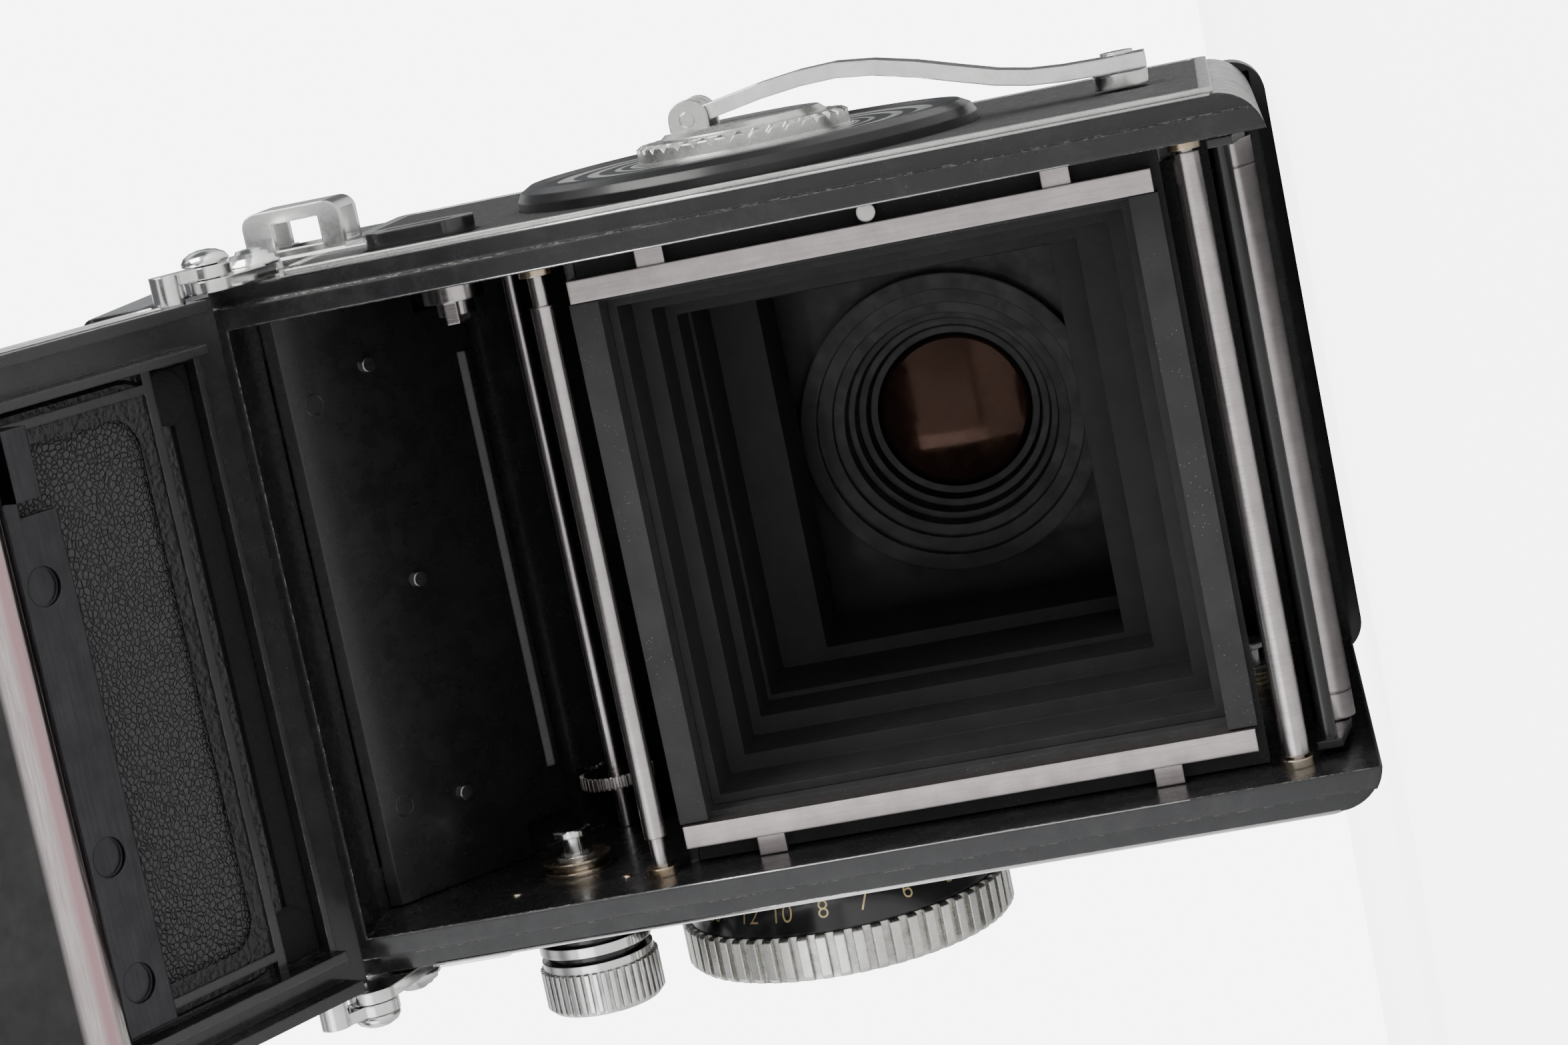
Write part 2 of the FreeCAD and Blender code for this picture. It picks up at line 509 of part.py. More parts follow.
cheeks, pins = [], []
for s in (-1, 1):
    x0 = -39.0 if s < 0 else 37.7
    cheek = fuse(cyl(2.7, 1.3, (x0, 28.6, 106.0), "+X"), cyl(2.7, 1.3, (x0, "hinge_y", "hinge_z"), "+X"),
                 padded("YZ_Plane", [(27.7, 108.5), (29.6, 103.5), (37.4, 105.95), (35.6, 111.05)], x0, x0 + 1.3, "Cheek"))
    x2 = -37.7 if s < 0 else 37.5
    cheek = fuse(cheek, cyl(2.2, 0.2, (x2, 28.6, 106.0), "+X"))
    cheeks.append(cheek)
    px = -41.0 if s < 0 else 39.0
    pins.append(turned([(39.0, 0), (39.0, 1.2), (40.5, 1.2), (40.5, 2.5), (41.1, 2.4), (41.7, 1.8), (42.0, 1.0), (42.1, 0)], "-X" if s < 0 else "+X", (0, "hinge_y", "hinge_z")))
    pins.append(cone(*((2.4, 1.3) if s > 0 else (1.3, 2.4)), 0.9, (39.0 if s > 0 else -39.9, 28.6, 106.0), "+X"))
node("hinge_cheeks", group(*cheeks))
node("hinge_pins", group(*pins))

# ------------------------------------------------------------------ focusing side
fy = (0, "focus_y", "focus_z")
rim = turned([(42.6, 12.0), (42.6, "focus_rad-0.3"), (42.9, "focus_rad"), (47.0, "focus_rad"), (47.6, "focus_rad-0.6"), (47.6, "focus_rad-2.4"), (46.9, "focus_rad-3.0"), (46.9, 6.0), (47.8, 5.4), (47.8, 0),
              (36.1, 0), (36.1, 3.0), (42.0, 3.0), (42.0, 12.0)], "+X", fy)
node("focus_knob", cut(rim, flutes("focus_rad", 0.75, 0.95, 42.0, 48.0, 56, fy, "+X")))
node("focus_dial", turned([(38.2, 3.1), (38.2, 16.2), (42.55, 17.6), (42.55, 12.1), (41.9, 12.1), (41.9, 3.1)], "+X", fy))

# ------------------------------------------------------------------ lens standard
panel = box("-panel_half", "panel_front", "panel_low", "panel_half", "panel_back", "panel_high")
panel = fillet(panel, 4.0, along("y"))
cav = box("-panel_half+1.4", "panel_front+2", "panel_low+1.6", "panel_half-1.4", "panel_back+1", "panel_high-1.5")
panel = cut(panel, cav, cyl(14.05, 6, (0, -45, "gate_z"), "+Y"), cyl(13.55, 6, (0, -45, "view_z"), "+Y"), cyl(2.05, 6, (-28, -45, 11), "+Y"), cyl(1.55, 6, (-18.5, -45, 64.0), "+Y"), cyl(1.55, 6, (18.5, -45, 64.0), "+Y"))
node("lens_panel", panel)
node("panel_guide_rods", group(*[cyl(1.5, 20, (x, -41, z), "+Y") for x in (-27, 27) for z in (34, 56)]))
gz = (0, 0, "gate_z")
node("shutter_housing", turned([(43.0, 14.2), (43.0, 21.5), (46.6, 21.5), (47.6, 20.8), (47.6, 18.6), (50.4, 18.6), (50.9, 18.2), (50.9, 14.2)], "-Y", gz))
node("taking_lens_barrel", turned([(37.6, 16.4), (37.6, 18.4), (41.0, 18.4), (41.0, 14.0), (52.2, 14.0), (52.2, 17.0), (57.4, 17.0), (57.4, 15.4), (56.0, 15.4), (56.0, 12.6), (54.0, 11.4),
                                   (51.6, 11.4), (51.6, 9.7), (48.6, 9.7), (48.6, 10.6), (46.4, 11.0), (46.4, 11.9), (43.6, 12.2), (43.6, 13.0), (40.6, 13.2), (40.6, 14.6), (39.2, 14.6), (39.2, 16.4)], "-Y", gz))
node("taking_lens_glass", group(turned([(51.7, 0), (51.7, 11.3), (53.2, 11.3), (54.6, 8.6), (55.4, 5.0), (55.7, 0)], "-Y", gz), turned([(48.9, 0), (49.1, 5.0), (49.7, 9.6), (51.0, 9.6), (51.0, 0)], "-Y", gz)))
vz = (0, 0, "view_z")
node("viewing_lens_barrel", turned([(37.0, 12.4), (37.0, 13.5), (43.0, 13.5), (43.0, 18.4), (44.8, 18.4), (46.0, 17.6), (52.0, 17.0), (57.0, 17.0), (57.0, 15.4), (55.4, 15.4), (55.4, 13.2), (53.2, 12.4)], "-Y", vz))
node("viewing_lens_glass", turned([(44.0, 0), (44.0, 12.3), (52.2, 12.3), (53.6, 9.4), (54.5, 5.4), (54.8, 0)], "-Y", vz))
for x, name in ((-18.5, "aperture_wheel"), (18.5, "speed_wheel")):
    w = turned([(40.0, 0), (40.0, 1.5), (43.15, 1.5), (43.15, 6.2), (45.8, 6.2), (46.3, 5.6), (46.3, 0)], "-Y", (x, 0, 64.0))
    node(name, cut(w, flutes(6.2, 0.4, 0.6, 43.0, 46.6, 30, (x, 0, 64.0), "-Y")))
node("shutter_release", cut(fuse(cyl(3.4, 2.4, (-28, -49.6, 11), "+Y"), cyl(2.0, 9.4, (-28, -47.6, 11), "+Y")), cyl(1.0, 3.0, (-28, -50, 11), "+Y")))
node("flash_socket", cut(fuse(cyl(3.6, 1.0, (28, -44, 11), "+Y"), cyl(2.6, 4.0, (28, -47, 11), "+Y")), cut(cyl(2.0, 3.2, (28, -47.5, 11), "+Y"), cyl(0.6, 3.2, (28, -46.6, 11), "+Y"))))
cap = fillet(box(-11, -48.4, 97.4, 11, -36.4, 105.4), 2.6, along("y"))
node("peep_window_cap", cut(cap, box(-6.5, -47.0, 103.4, 6.5, -41.0, 106), cyl(18.6, 14, (0, -50, "view_z"), "+Y"), box(-36, -43, 90, 36, -30, 101.0)))

# ------------------------------------------------------------------ back cover, modelled shut and swung open
swing = App.Placement(V(0, 0, 0), App.Rotation(V(1, 0, 0), VAL["door_open"]), V(0, VAL["hinge_y"], VAL["hinge_z"]))
back = box("-door_half", 36.8, -2.4, "door_half", 38.6, 108.4)
base = box("-door_half", "body_front+1", -2.4, "door_half", 38.6, -0.6)
rear, low, side = along("x", y=38.6, z=-2.4), along("z", x=[-37.2, 37.2], y=38.6), along("y", x=[-37.2, 37.2], z=-2.4)
door = fillet(fuse(back, base), 1.7, lambda e: rear(e) or low(e) or side(e))
lips = [box("-door_half", 34.3, 2.0, "-door_half+1.3", 37.2, 105.6), box("door_half-1.3", 34.3, 2.0, "door_half", 37.2, 105.6)]
ridges = [box(-32.9, 33.4, 1.5, -31.9, 37.2, 103.5), box(31.9, 33.4, 1.5, 32.9, 37.2, 103.5), box(-32.9, 35.0, 102.7, 32.9, 37.2, 103.6),
          box(-32.9, 35.9, 96.2, 32.9, 37.2, 97.4), box(-30.5, 35.9, 3, -29.5, 37.2, 97.4), box(29.5, 35.9, 3, 30.5, 37.2, 97.4)]
knuckle = []
for s in (-1, 1):
    x0 = -40.4 if s < 0 else 39.15
    ear = fuse(cyl(2.6, 1.25, (x0, "hinge_y", "hinge_z"), "+X"), padded("YZ_Plane", [(34.9, 109.6), (36.0, 103.2), (38.7, 103.2), (38.6, 109.4)], x0, x0 + 1.25, "Ear"))
    if s < 0:
        foot = cyl(1.6, 3.2, (-40.4, 37.3, 103.3), "+X")
    else:
        foot = cyl(1.6, 3.2, (37.2, 37.3, 103.3), "+X")
    knuckle.append(cut(fuse(ear, foot), cyl(1.25, 4, (x0 - 1, "hinge_y", "hinge_z"), "+X")))
door = cut(fuse(door, *lips, *ridges), cyl(3.9, 4, (0, "tripod_y", -3), "+Z"))
node("back_cover", door, swing)
node("back_hinge_ears", group(*knuckle), swing)
node("leatherette_back", fillet(box(-34.4, 38.6, 2.2, 34.4, 39.1, 104), 2.2, along("y")), swing)
plate_base = fuse(box(-31.0, 34.7, 9.5, 31.0, 35.6, 76.5), box(-21.5, 34.7, 5.0, 31.0, 35.6, 81.0), box(-30.5, 30.8, 73.4, -23.5, 35.0, 76.5))
posts = [cyl(1.6, 1.2, (x, 35.6, z), "+Y") for x in (-23, 23) for z in (10.5, 75.5)]
node("pressure_plate_base", cut(fuse(plate_base, *posts), *[cyl(1.57, 2, (x, 34.0, z), "+Y") for x in (-20, 20) for z in (20, 66)], *[cyl(2.0, 0.85, (x, 34.4, z), "+Y") for x in (-14.5, 13.0, 26.0) for z in (9.2, 77.4)]), swing)
press = fillet(box(-31.0, 28.5, 14.2, 31.0, 33.2, 71.8), 3.6, along("x", y=28.5))
press = cut(press, box(-29.4, 29.9, 17.9, 29.4, 34, 68.1))
node("pressure_plate", fuse(press, *[cyl(1.5, 5.9, (x, 29.6, z), "+Y") for x in (-20, 20) for z in (20, 66)]), swing)
ty = (0, "tripod_y", 0)
node("tripod_socket", cut(fuse(cyl(8.9, 2.0, (0, "tripod_y", -4.4), "+Z"), cyl(3.85, 4.2, (0, "tripod_y", -2.9), "+Z")), cyl("tripod_rad", 4.9, (0, "tripod_y", -4.9), "+Z")), swing)
latch = cut(fuse(cyl(12.6, 1.5, (0, "tripod_y", -4.0), "+Z"), fillet(box(-4.5, "tripod_y-20", -4.0, 4.5, "tripod_y-6", -2.5), 2.5, along("z", y=-16.0))), cyl(8.95, 4, (0, "tripod_y", -5), "+Z"))
node("back_latch", latch, swing)
node("feet", group(*[cyl(3.2, 2.0, (x, y, -4.4), "+Z") for x in (-29, 29) for y in (-26, 30)]), swing)

# ------------------------------------------------------------------ viewing hood, folded
top, turn = along("y", z=124.0), along("x", z=124.0)
lid = fillet(box(-37.2, -34.4, 116.8, 37.2, 34.6, 124.0), 2.0, lambda e: top(e) or turn(e))
lid = cut(lid, box(-36.0, -33.2, 116, 36.0, 33.4, 122.8))
node("hood_lid", fuse(lid, cyl(0.75, 64, (-32, -34.6, 116.6), "+X")))
for s, name in ((-1, "hood_leaf_crank"), (1, "hood_leaf_focus")):
    pts = [(s * 30.6, -29.5), (s * 30.6, 20.6), (s * 17.6, 7.6), (s * 1.0, 7.6), (s * 1.0, -0.5), (s * 1.0, -2.0)]
    pts = [(s * 30.6, -29.6), (s * 30.6, 20.4), (s * 18.6, 8.2), (s * 0.8, 8.2), (s * 0.8, -1.4)]
    leaf = padded("XY_Plane", pts if s > 0 else pts[::-1], 117.0, 117.8, "Leaf")
    node(name, fuse(leaf, cyl(0.4, 49.6, (s * 30.9, -29.4, 117.25), "+Y")))
leaf = padded("XY_Plane", [(-28.6, 21.9), (28.6, 21.9), (17.4, 10.6), (-17.4, 10.6)], 117.0, 117.8, "Leaf")
node("hood_leaf_back", fuse(leaf, cyl(0.4, 56, (-28, 22.2, 117.25), "+X")))
mag = fillet(box(-14, -2, 119.2, 14, 31, 122.4), 3.0, along("z"))
node("magnifier_frame", cut(fuse(mag, cyl(0.85, 20, (-10, -2.6, 121.0), "+X")), cyl(11.6, 8, (0, 17, 117), "+Z")))
node("magnifier_lens", turned([(119.5, 0), (120.2, 11.5), (121.4, 11.5), (122.1, 0)], "+Z", (0, 17, 0)))

# ------------------------------------------------------------------ checks and export
doc.recompute()
bad = [o.Label + " " + str(o.State) for o in doc.Objects if "Invalid" in o.State or "Error" in o.State]
if bad:
    raise RuntimeError("objects in error: " + "; ".join(bad))
os.makedirs("parts", exist_ok=True)
for old in os.listdir("parts"):
    if old.endswith(".step"):
        os.remove(os.path.join("parts", old))
names = set()
for name, obj in NODES:
    s = obj.Shape
    if s.isNull() or not s.isValid() or not s.Solids or any(k.Volume <= 0 for k in s.Solids):
        raise RuntimeError("bad shape: " + name)
    if name in names or len(name) >= 60:
        raise RuntimeError("bad name: " + name)
    names.add(name)
    b = s.BoundBox
    print("%-22s solids %2d  volume %9.1f  x %.1f..%.1f y %.1f..%.1f z %.1f..%.1f" % (name, len(s.Solids), s.Volume, b.XMin, b.XMax, b.YMin, b.YMax, b.ZMin, b.ZMax))
    s.exportStep("parts/%s.step" % name)
print(len(names), "nodes")
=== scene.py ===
import bpy, bmesh, math, random
from mathutils import Vector, Matrix, Quaternion


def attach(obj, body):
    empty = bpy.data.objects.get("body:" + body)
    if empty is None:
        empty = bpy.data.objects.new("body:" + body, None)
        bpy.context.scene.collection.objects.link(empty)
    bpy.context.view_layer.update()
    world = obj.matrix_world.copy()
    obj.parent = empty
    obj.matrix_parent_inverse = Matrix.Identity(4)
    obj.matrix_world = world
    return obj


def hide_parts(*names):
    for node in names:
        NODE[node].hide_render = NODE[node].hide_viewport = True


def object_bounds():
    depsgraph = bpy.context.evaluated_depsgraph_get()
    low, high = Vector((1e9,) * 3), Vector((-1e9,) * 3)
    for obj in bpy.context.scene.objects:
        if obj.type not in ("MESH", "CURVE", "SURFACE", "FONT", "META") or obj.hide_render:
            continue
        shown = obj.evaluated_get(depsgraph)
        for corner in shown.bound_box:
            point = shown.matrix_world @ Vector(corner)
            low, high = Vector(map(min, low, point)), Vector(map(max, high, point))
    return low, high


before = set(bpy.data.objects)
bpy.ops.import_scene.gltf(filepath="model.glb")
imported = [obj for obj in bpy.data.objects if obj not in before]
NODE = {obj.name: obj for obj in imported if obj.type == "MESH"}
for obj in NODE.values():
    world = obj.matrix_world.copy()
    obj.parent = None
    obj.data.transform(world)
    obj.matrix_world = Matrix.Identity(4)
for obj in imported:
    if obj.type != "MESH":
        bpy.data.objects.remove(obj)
CAD_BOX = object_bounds()
MM = 0.001
random.seed(7)

# ---------------------------------------------------------------- material kit
def new_mat(name):
    m = bpy.data.materials.new(name)
    m.use_nodes = True
    nt = m.node_tree
    for n in list(nt.nodes):
        nt.nodes.remove(n)
    out = nt.nodes.new("ShaderNodeOutputMaterial")
    b = nt.nodes.new("ShaderNodeBsdfPrincipled")
    nt.links.new(b.outputs[0], out.inputs[0])
    return m, nt, b


def mm_coords(nt, scale=(1, 1, 1), rot=(0, 0, 0)):
    """Object coordinates in millimetres."""
    tc = nt.nodes.new("ShaderNodeTexCoord")
    mp = nt.nodes.new("ShaderNodeMapping")
    mp.inputs["Scale"].default_value = [1000 * s for s in scale]
    mp.inputs["Rotation"].default_value = rot
    nt.links.new(tc.outputs["Object"], mp.inputs["Vector"])
    return mp.outputs[0]


def noise(nt, vec, scale, detail=4, rough=0.55, dist=0.0):
    n = nt.nodes.new("ShaderNodeTexNoise")
    n.inputs["Scale"].default_value = scale
    n.inputs["Detail"].default_value = detail
    n.inputs["Roughness"].default_value = rough
    n.inputs["Distortion"].default_value = dist
    nt.links.new(vec, n.inputs["Vector"])
    return n.outputs["Fac"]


def voronoi(nt, vec, scale, feature="F1", rnd=1.0):
    n = nt.nodes.new("ShaderNodeTexVoronoi")
    n.feature = feature
    n.inputs["Scale"].default_value = scale
    n.inputs["Randomness"].default_value = rnd
    nt.links.new(vec, n.inputs["Vector"])
    return n.outputs["Distance"]


def ramp(nt, fac, stops):
    n = nt.nodes.new("ShaderNodeValToRGB")
    el = n.color_ramp.elements
    while len(el) < len(stops):
        el.new(0.5)
    for e, (p, c) in zip(el, stops):
        e.position = p
        e.color = (c, c, c, 1) if isinstance(c, (int, float)) else (*c, 1)
    nt.links.new(fac, n.inputs["Fac"])
    return n.outputs["Color"]


def math_node(nt, op, a, b=None, clamp=False):
    n = nt.nodes.new("ShaderNodeMath")
    n.operation = op
    n.use_clamp = clamp
    for i, v in enumerate((a, b)):
        if v is None:
            continue
        if isinstance(v, (int, float)):
            n.inputs[i].default_value = v
        else:
            nt.links.new(v, n.inputs[i])
    return n.outputs[0]


def mix(nt, fac, a, b):
    n = nt.nodes.new("ShaderNodeMix")
    n.data_type = "RGBA"
    for sock, v in ((n.inputs["Factor"], fac), (n.inputs[6], a), (n.inputs[7], b)):
        if isinstance(v, (int, float)):
            sock.default_value = v if sock.name == "Factor" else (v, v, v, 1)
        elif isinstance(v, tuple):
            sock.default_value = (*v, 1)
        else:
            nt.links.new(v, sock)
    return n.outputs[2]


def bump(nt, height, strength, dist, normal=None):
    n = nt.nodes.new("ShaderNodeBump")
    n.inputs["Strength"].default_value = strength
    n.inputs["Distance"].default_value = dist
    nt.links.new(height, n.inputs["Height"])
    if normal is not None:
        nt.links.new(normal, n.inputs["Normal"])
    return n.outputs[0]


def edge_mask(nt, radius, lo, hi, samples=6):
    """1 on worn edges, 0 on flats: how far the rounded normal leans from the true one."""
    bv = nt.nodes.new("ShaderNodeBevel")
    bv.samples = samples
    bv.inputs["Radius"].default_value = radius
    geo = nt.nodes.new("ShaderNodeNewGeometry")
    d = nt.nodes.new("ShaderNodeVectorMath")
    d.operation = "DOT_PRODUCT"
    nt.links.new(bv.outputs[0], d.inputs[0])
    nt.links.new(geo.outputs["Normal"], d.inputs[1])
    inv = math_node(nt, "SUBTRACT", 1.0, d.outputs["Value"])
    return ramp(nt, inv, [(lo, 0.0), (hi, 1.0)]), bv.outputs[0]


def dust(nt, vec, scale=0.55, size=0.035):
    """Sparse pale specks."""
    v = voronoi(nt, vec, scale)
    spot = ramp(nt, v, [(0.0, 1.0), (size, 0.0)])
    gate = ramp(nt, noise(nt, vec, 0.16, 3), [(0.42, 0.0), (0.60, 1.0)])
    return math_node(nt, "MULTIPLY", spot, gate)


def black_paint(name, base=(0.0045, 0.0045, 0.005), rough=0.3, wear=0.4, wear_col=(0.50, 0.47, 0.42), bev=0.0003, peel=0.2, specks=0.5, coat=0.2, spec=0.4):
    m, nt, b = new_mat(name)
    v = mm_coords(nt)
    big = noise(nt, v, 0.12, 3)
    fine = noise(nt, v, 1.6, 6, 0.65)
    col = mix(nt, big, base, tuple(c * 1.8 for c in base))
    e, bn = edge_mask(nt, bev * 0.55, 0.10, 0.30)
    _, soft = edge_mask(nt, bev, 0.03, 0.22)
    patch = ramp(nt, noise(nt, v, 0.9, 8, 0.78), [(0.54 - 0.08 * wear, 0.0), (0.60 - 0.08 * wear, 1.0)])
    worn = math_node(nt, "MULTIPLY", math_node(nt, "MULTIPLY", e, patch), min(wear * 1.6, 1.0), True)
    col = mix(nt, worn, col, wear_col)
    d = math_node(nt, "MULTIPLY", dust(nt, v), specks)
    haze = math_node(nt, "MULTIPLY", ramp(nt, noise(nt, v, 0.22, 6, 0.75), [(0.5, 0.0), (0.8, 1.0)]), 0.035 * specks)
    col = mix(nt, haze, col, (0.5, 0.49, 0.47))
    col = mix(nt, d, col, (0.45, 0.44, 0.42))
    nt.links.new(col, b.inputs["Base Color"])
    nt.links.new(worn, b.inputs["Metallic"])
    r = mix(nt, ramp(nt, noise(nt, v, 0.35, 5, 0.7), [(0.35, 0.0), (0.7, 1.0)]), rough * 0.8, min(rough * 1.45, 1))
    nt.links.new(r, b.inputs["Roughness"])
    b.inputs["Specular IOR Level"].default_value = spec
    b.inputs["Coat Weight"].default_value = coat
    b.inputs["Coat Roughness"].default_value = 0.12
    nrm = bump(nt, fine, peel, 0.00003, soft)
    nt.links.new(nrm, b.inputs["Normal"])
    return m


def matt_black(name, base=0.0028, rough=0.85, specks=0.35, grain=6.0, strength=0.5, dist=0.00008, size=0.035, sc=0.55):
    m, nt, b = new_mat(name)
    v = mm_coords(nt)
    col = mix(nt, noise(nt, v, 0.25, 4), (base, base, base * 1.05), (base * 2.2, base * 2.2, base * 2.3))
    d = math_node(nt, "MULTIPLY", dust(nt, v, sc, size), specks)
    col = mix(nt, d, col, (0.4, 0.4, 0.38))
    nt.links.new(col, b.inputs["Base Color"])
    r = mix(nt, noise(nt, v, 1.1, 4), rough * 0.82, min(1.0, rough * 1.1))
    nt.links.new(r, b.inputs["Roughness"])
    b.inputs["Specular IOR Level"].default_value = 0.22
    _, bn = edge_mask(nt, 0.00015, 0.1, 0.3, 4)
    nt.links.new(bump(nt, noise(nt, v, grain, 3, 0.6), strength, dist, bn), b.inputs["Normal"])
    return m


def crinkle(name, scale=1.5, base=0.005, rough=0.42):
    m, nt, b = new_mat(name)
    v = mm_coords(nt)
    n = nt.nodes.new("ShaderNodeTexNoise")
    n.inputs["Scale"].default_value = scale * 0.6
    n.inputs["Detail"].default_value = 3
    nt.links.new(v, n.inputs["Vector"])
    warp = nt.nodes.new("ShaderNodeVectorMath")
    warp.operation = "ADD"
    nt.links.new(v, warp.inputs[0])
    nt.links.new(n.outputs["Color"], warp.inputs[1])
    h1 = voronoi(nt, warp.outputs[0], scale, "SMOOTH_F1")
    h2 = noise(nt, v, 5.0, 4, 0.6)
    h = math_node(nt, "ADD", h1, math_node(nt, "MULTIPLY", h2, 0.35))
    # painted shade: the crinkle's hollows are coloured darker than its ridges
    col = mix(nt, h1, (base, base, base), (base * 2.4, base * 2.4, base * 2.5))
    d = math_node(nt, "MULTIPLY", dust(nt, v, 0.5, 0.03), 0.3)
    nt.links.new(mix(nt, d, col, (0.4, 0.4, 0.4)), b.inputs["Base Color"])
    nt.links.new(mix(nt, noise(nt, v, 0.4, 4), rough * 0.8, rough * 1.3), b.inputs["Roughness"])
    nt.links.new(bump(nt, h, 0.75, 0.00035), b.inputs["Normal"])
    return m


def leather(name, base=(0.006, 0.006, 0.0065), scale=1.35, rough=0.40):
    m, nt, b = new_mat(name)
    v = mm_coords(nt)
    cell = voronoi(nt, v, scale, "SMOOTH_F1")
    edge = nt.nodes.new("ShaderNodeTexVoronoi")
    edge.feature = "DISTANCE_TO_EDGE"
    edge.inputs["Scale"].default_value = scale
    nt.links.new(v, edge.inputs["Vector"])
    crease_height_and_shade = ramp(nt, edge.outputs["Distance"], [(0.0, 0.0), (0.16, 1.0)])
    h = math_node(nt, "ADD", math_node(nt, "MULTIPLY", crease_height_and_shade, 0.7), math_node(nt, "MULTIPLY", noise(nt, v, 4.5, 5, 0.65), 0.6))
    # painted shade: the grain's creases are coloured darker than the cell tops
    col = mix(nt, crease_height_and_shade, tuple(c * 0.5 for c in base), tuple(c * 1.9 for c in base))
    d = math_node(nt, "MULTIPLY", dust(nt, v, 0.6, 0.03), 0.35)
    nt.links.new(mix(nt, d, col, (0.4, 0.4, 0.4)), b.inputs["Base Color"])
    nt.links.new(mix(nt, noise(nt, v, 0.6, 4), rough * 0.75, rough * 1.35), b.inputs["Roughness"])
    nt.links.new(bump(nt, h, 0.8, 0.0003), b.inputs["Normal"])
    return m


def metal(name, col=(0.62, 0.61, 0.60), rough=0.2, streak=(1, 1, 1), streak_amt=0.25, smudge=0.3, tint=None, recess_shade=0.0, bev=0.00025, grain=0.25, aniso=0.0, scale=3.0, recess_shade_dist=0.0009, recess_shade_col=(0.05, 0.045, 0.035)):
    """Worked metal. streak is the grain's stretch along x, y, z: small values run long that way."""
    m, nt, b = new_mat(name)
    v = mm_coords(nt)
    vs = mm_coords(nt, streak)
    lines = noise(nt, vs, scale, 6, 0.7)
    blot = noise(nt, v, 0.35, 5, 0.65)
    c2 = tint or tuple(c * 0.8 for c in col)
    c = mix(nt, ramp(nt, blot, [(0.35, 0.0), (0.68, 1.0)]), col, c2)
    c = mix(nt, math_node(nt, "MULTIPLY", ramp(nt, lines, [(0.35, 1.0), (0.6, 0.0)]), streak_amt), c, tuple(k * 0.45 for k in col))
    # painted shade: where ambient occlusion finds a recess, the metal is coloured dark and made less metallic
    if recess_shade > 0:
        ao = nt.nodes.new("ShaderNodeAmbientOcclusion")
        ao.samples = 6
        ao.inputs["Distance"].default_value = recess_shade_dist
        painted_shade = ramp(nt, ao.outputs["AO"], [(0.35, 1.0), (0.85, 0.0)])
        painted_shade = math_node(nt, "MULTIPLY", math_node(nt, "MULTIPLY", painted_shade, ramp(nt, noise(nt, v, 0.8, 5, 0.7), [(0.3, 0.35), (0.62, 1.0)])), recess_shade, True)
        c = mix(nt, painted_shade, c, recess_shade_col)
        nt.links.new(math_node(nt, "SUBTRACT", 1.0, math_node(nt, "MULTIPLY", painted_shade, 0.85)), b.inputs["Metallic"])
    else:
        b.inputs["Metallic"].default_value = 1.0
    nt.links.new(c, b.inputs["Base Color"])
    r = math_node(nt, "ADD", math_node(nt, "MULTIPLY", blot, smudge * 0.4), math_node(nt, "MULTIPLY", lines, 0.12))
    nt.links.new(math_node(nt, "ADD", r, max(rough - smudge * 0.2 - 0.06, 0.02), True), b.inputs["Roughness"])
    _, bn = edge_mask(nt, bev, 0.1, 0.3, 4)
    nt.links.new(bump(nt, lines, grain, 0.00002, bn), b.inputs["Normal"])
    return m


def lens_glass(name, x0, z0, col=(0.030, 0.013, 0.012)):
    """Dark coated glass: purple brown, with dust and a warm tone towards the rim."""
    m, nt, b = new_mat(name)
    v = mm_coords(nt)
    blot = noise(nt, v, 0.22, 6, 0.62, 0.6)
    c = mix(nt, ramp(nt, blot, [(0.38, 0.0), (0.62, 1.0)]), col, (0.040, 0.021, 0.014))
    r = radial(nt, "y", x0, z0)
    rim = band(nt, r, 8.0, 30.0, 1.6)
    c = mix(nt, math_node(nt, "MULTIPLY", rim, 0.8), c, (0.010, 0.006, 0.008))
    d = dust(nt, v, 0.7, 0.045)
    c = mix(nt, math_node(nt, "MULTIPLY", d, 0.4), c, (0.4, 0.3, 0.3))
    nt.links.new(c, b.inputs["Base Color"])
    nt.links.new(ramp(nt, noise(nt, v, 0.6, 4), [(0.3, 0.05), (0.75, 0.16)]), b.inputs["Roughness"])
    b.inputs["Specular IOR Level"].default_value = 0.30
    b.inputs["Specular Tint"].default_value = (1.0, 0.55, 0.40, 1)
    b.inputs["IOR"].default_value = 1.5
    b.inputs["Coat Weight"].default_value = 0.08
    b.inputs["Coat Roughness"].default_value = 0.02
    b.inputs["Coat Tint"].default_value = (1.0, 0.7, 0.5, 1)
    return m


def radial(nt, axis, y0, z0):
    """Distance in mm from an axis: 'x' axis through (y0, z0), or 'y' axis through (x, z)."""
    tc = nt.nodes.new("ShaderNodeTexCoord")
    mp = nt.nodes.new("ShaderNodeMapping")
    mp.vector_type = "POINT"
    mp.inputs["Scale"].default_value = (0, 1000, 1000) if axis == "x" else (1000, 0, 1000)
    mp.inputs["Location"].default_value = (0, -y0, -z0) if axis == "x" else (-y0, 0, -z0)
    nt.links.new(tc.outputs["Object"], mp.inputs["Vector"])
    ln = nt.nodes.new("ShaderNodeVectorMath")
    ln.operation = "LENGTH"
    nt.links.new(mp.outputs[0], ln.inputs[0])
    return ln.outputs["Value"]


def band(nt, r, lo, hi, soft=0.08):
    a = nt.nodes.new("ShaderNodeMapRange")
    a.inputs["From Min"].default_value = lo - soft
    a.inputs["From Max"].default_value = lo + soft
    nt.links.new(r, a.inputs["Value"])
    c = nt.nodes.new("ShaderNodeMapRange")
    c.inputs["From Min"].default_value = hi - soft
    c.inputs["From Max"].default_value = hi + soft
    nt.links.new(r, c.inputs["Value"])
    return math_node(nt, "MULTIPLY", a.outputs[0], math_node(nt, "SUBTRACT", 1.0, c.outputs[0]))


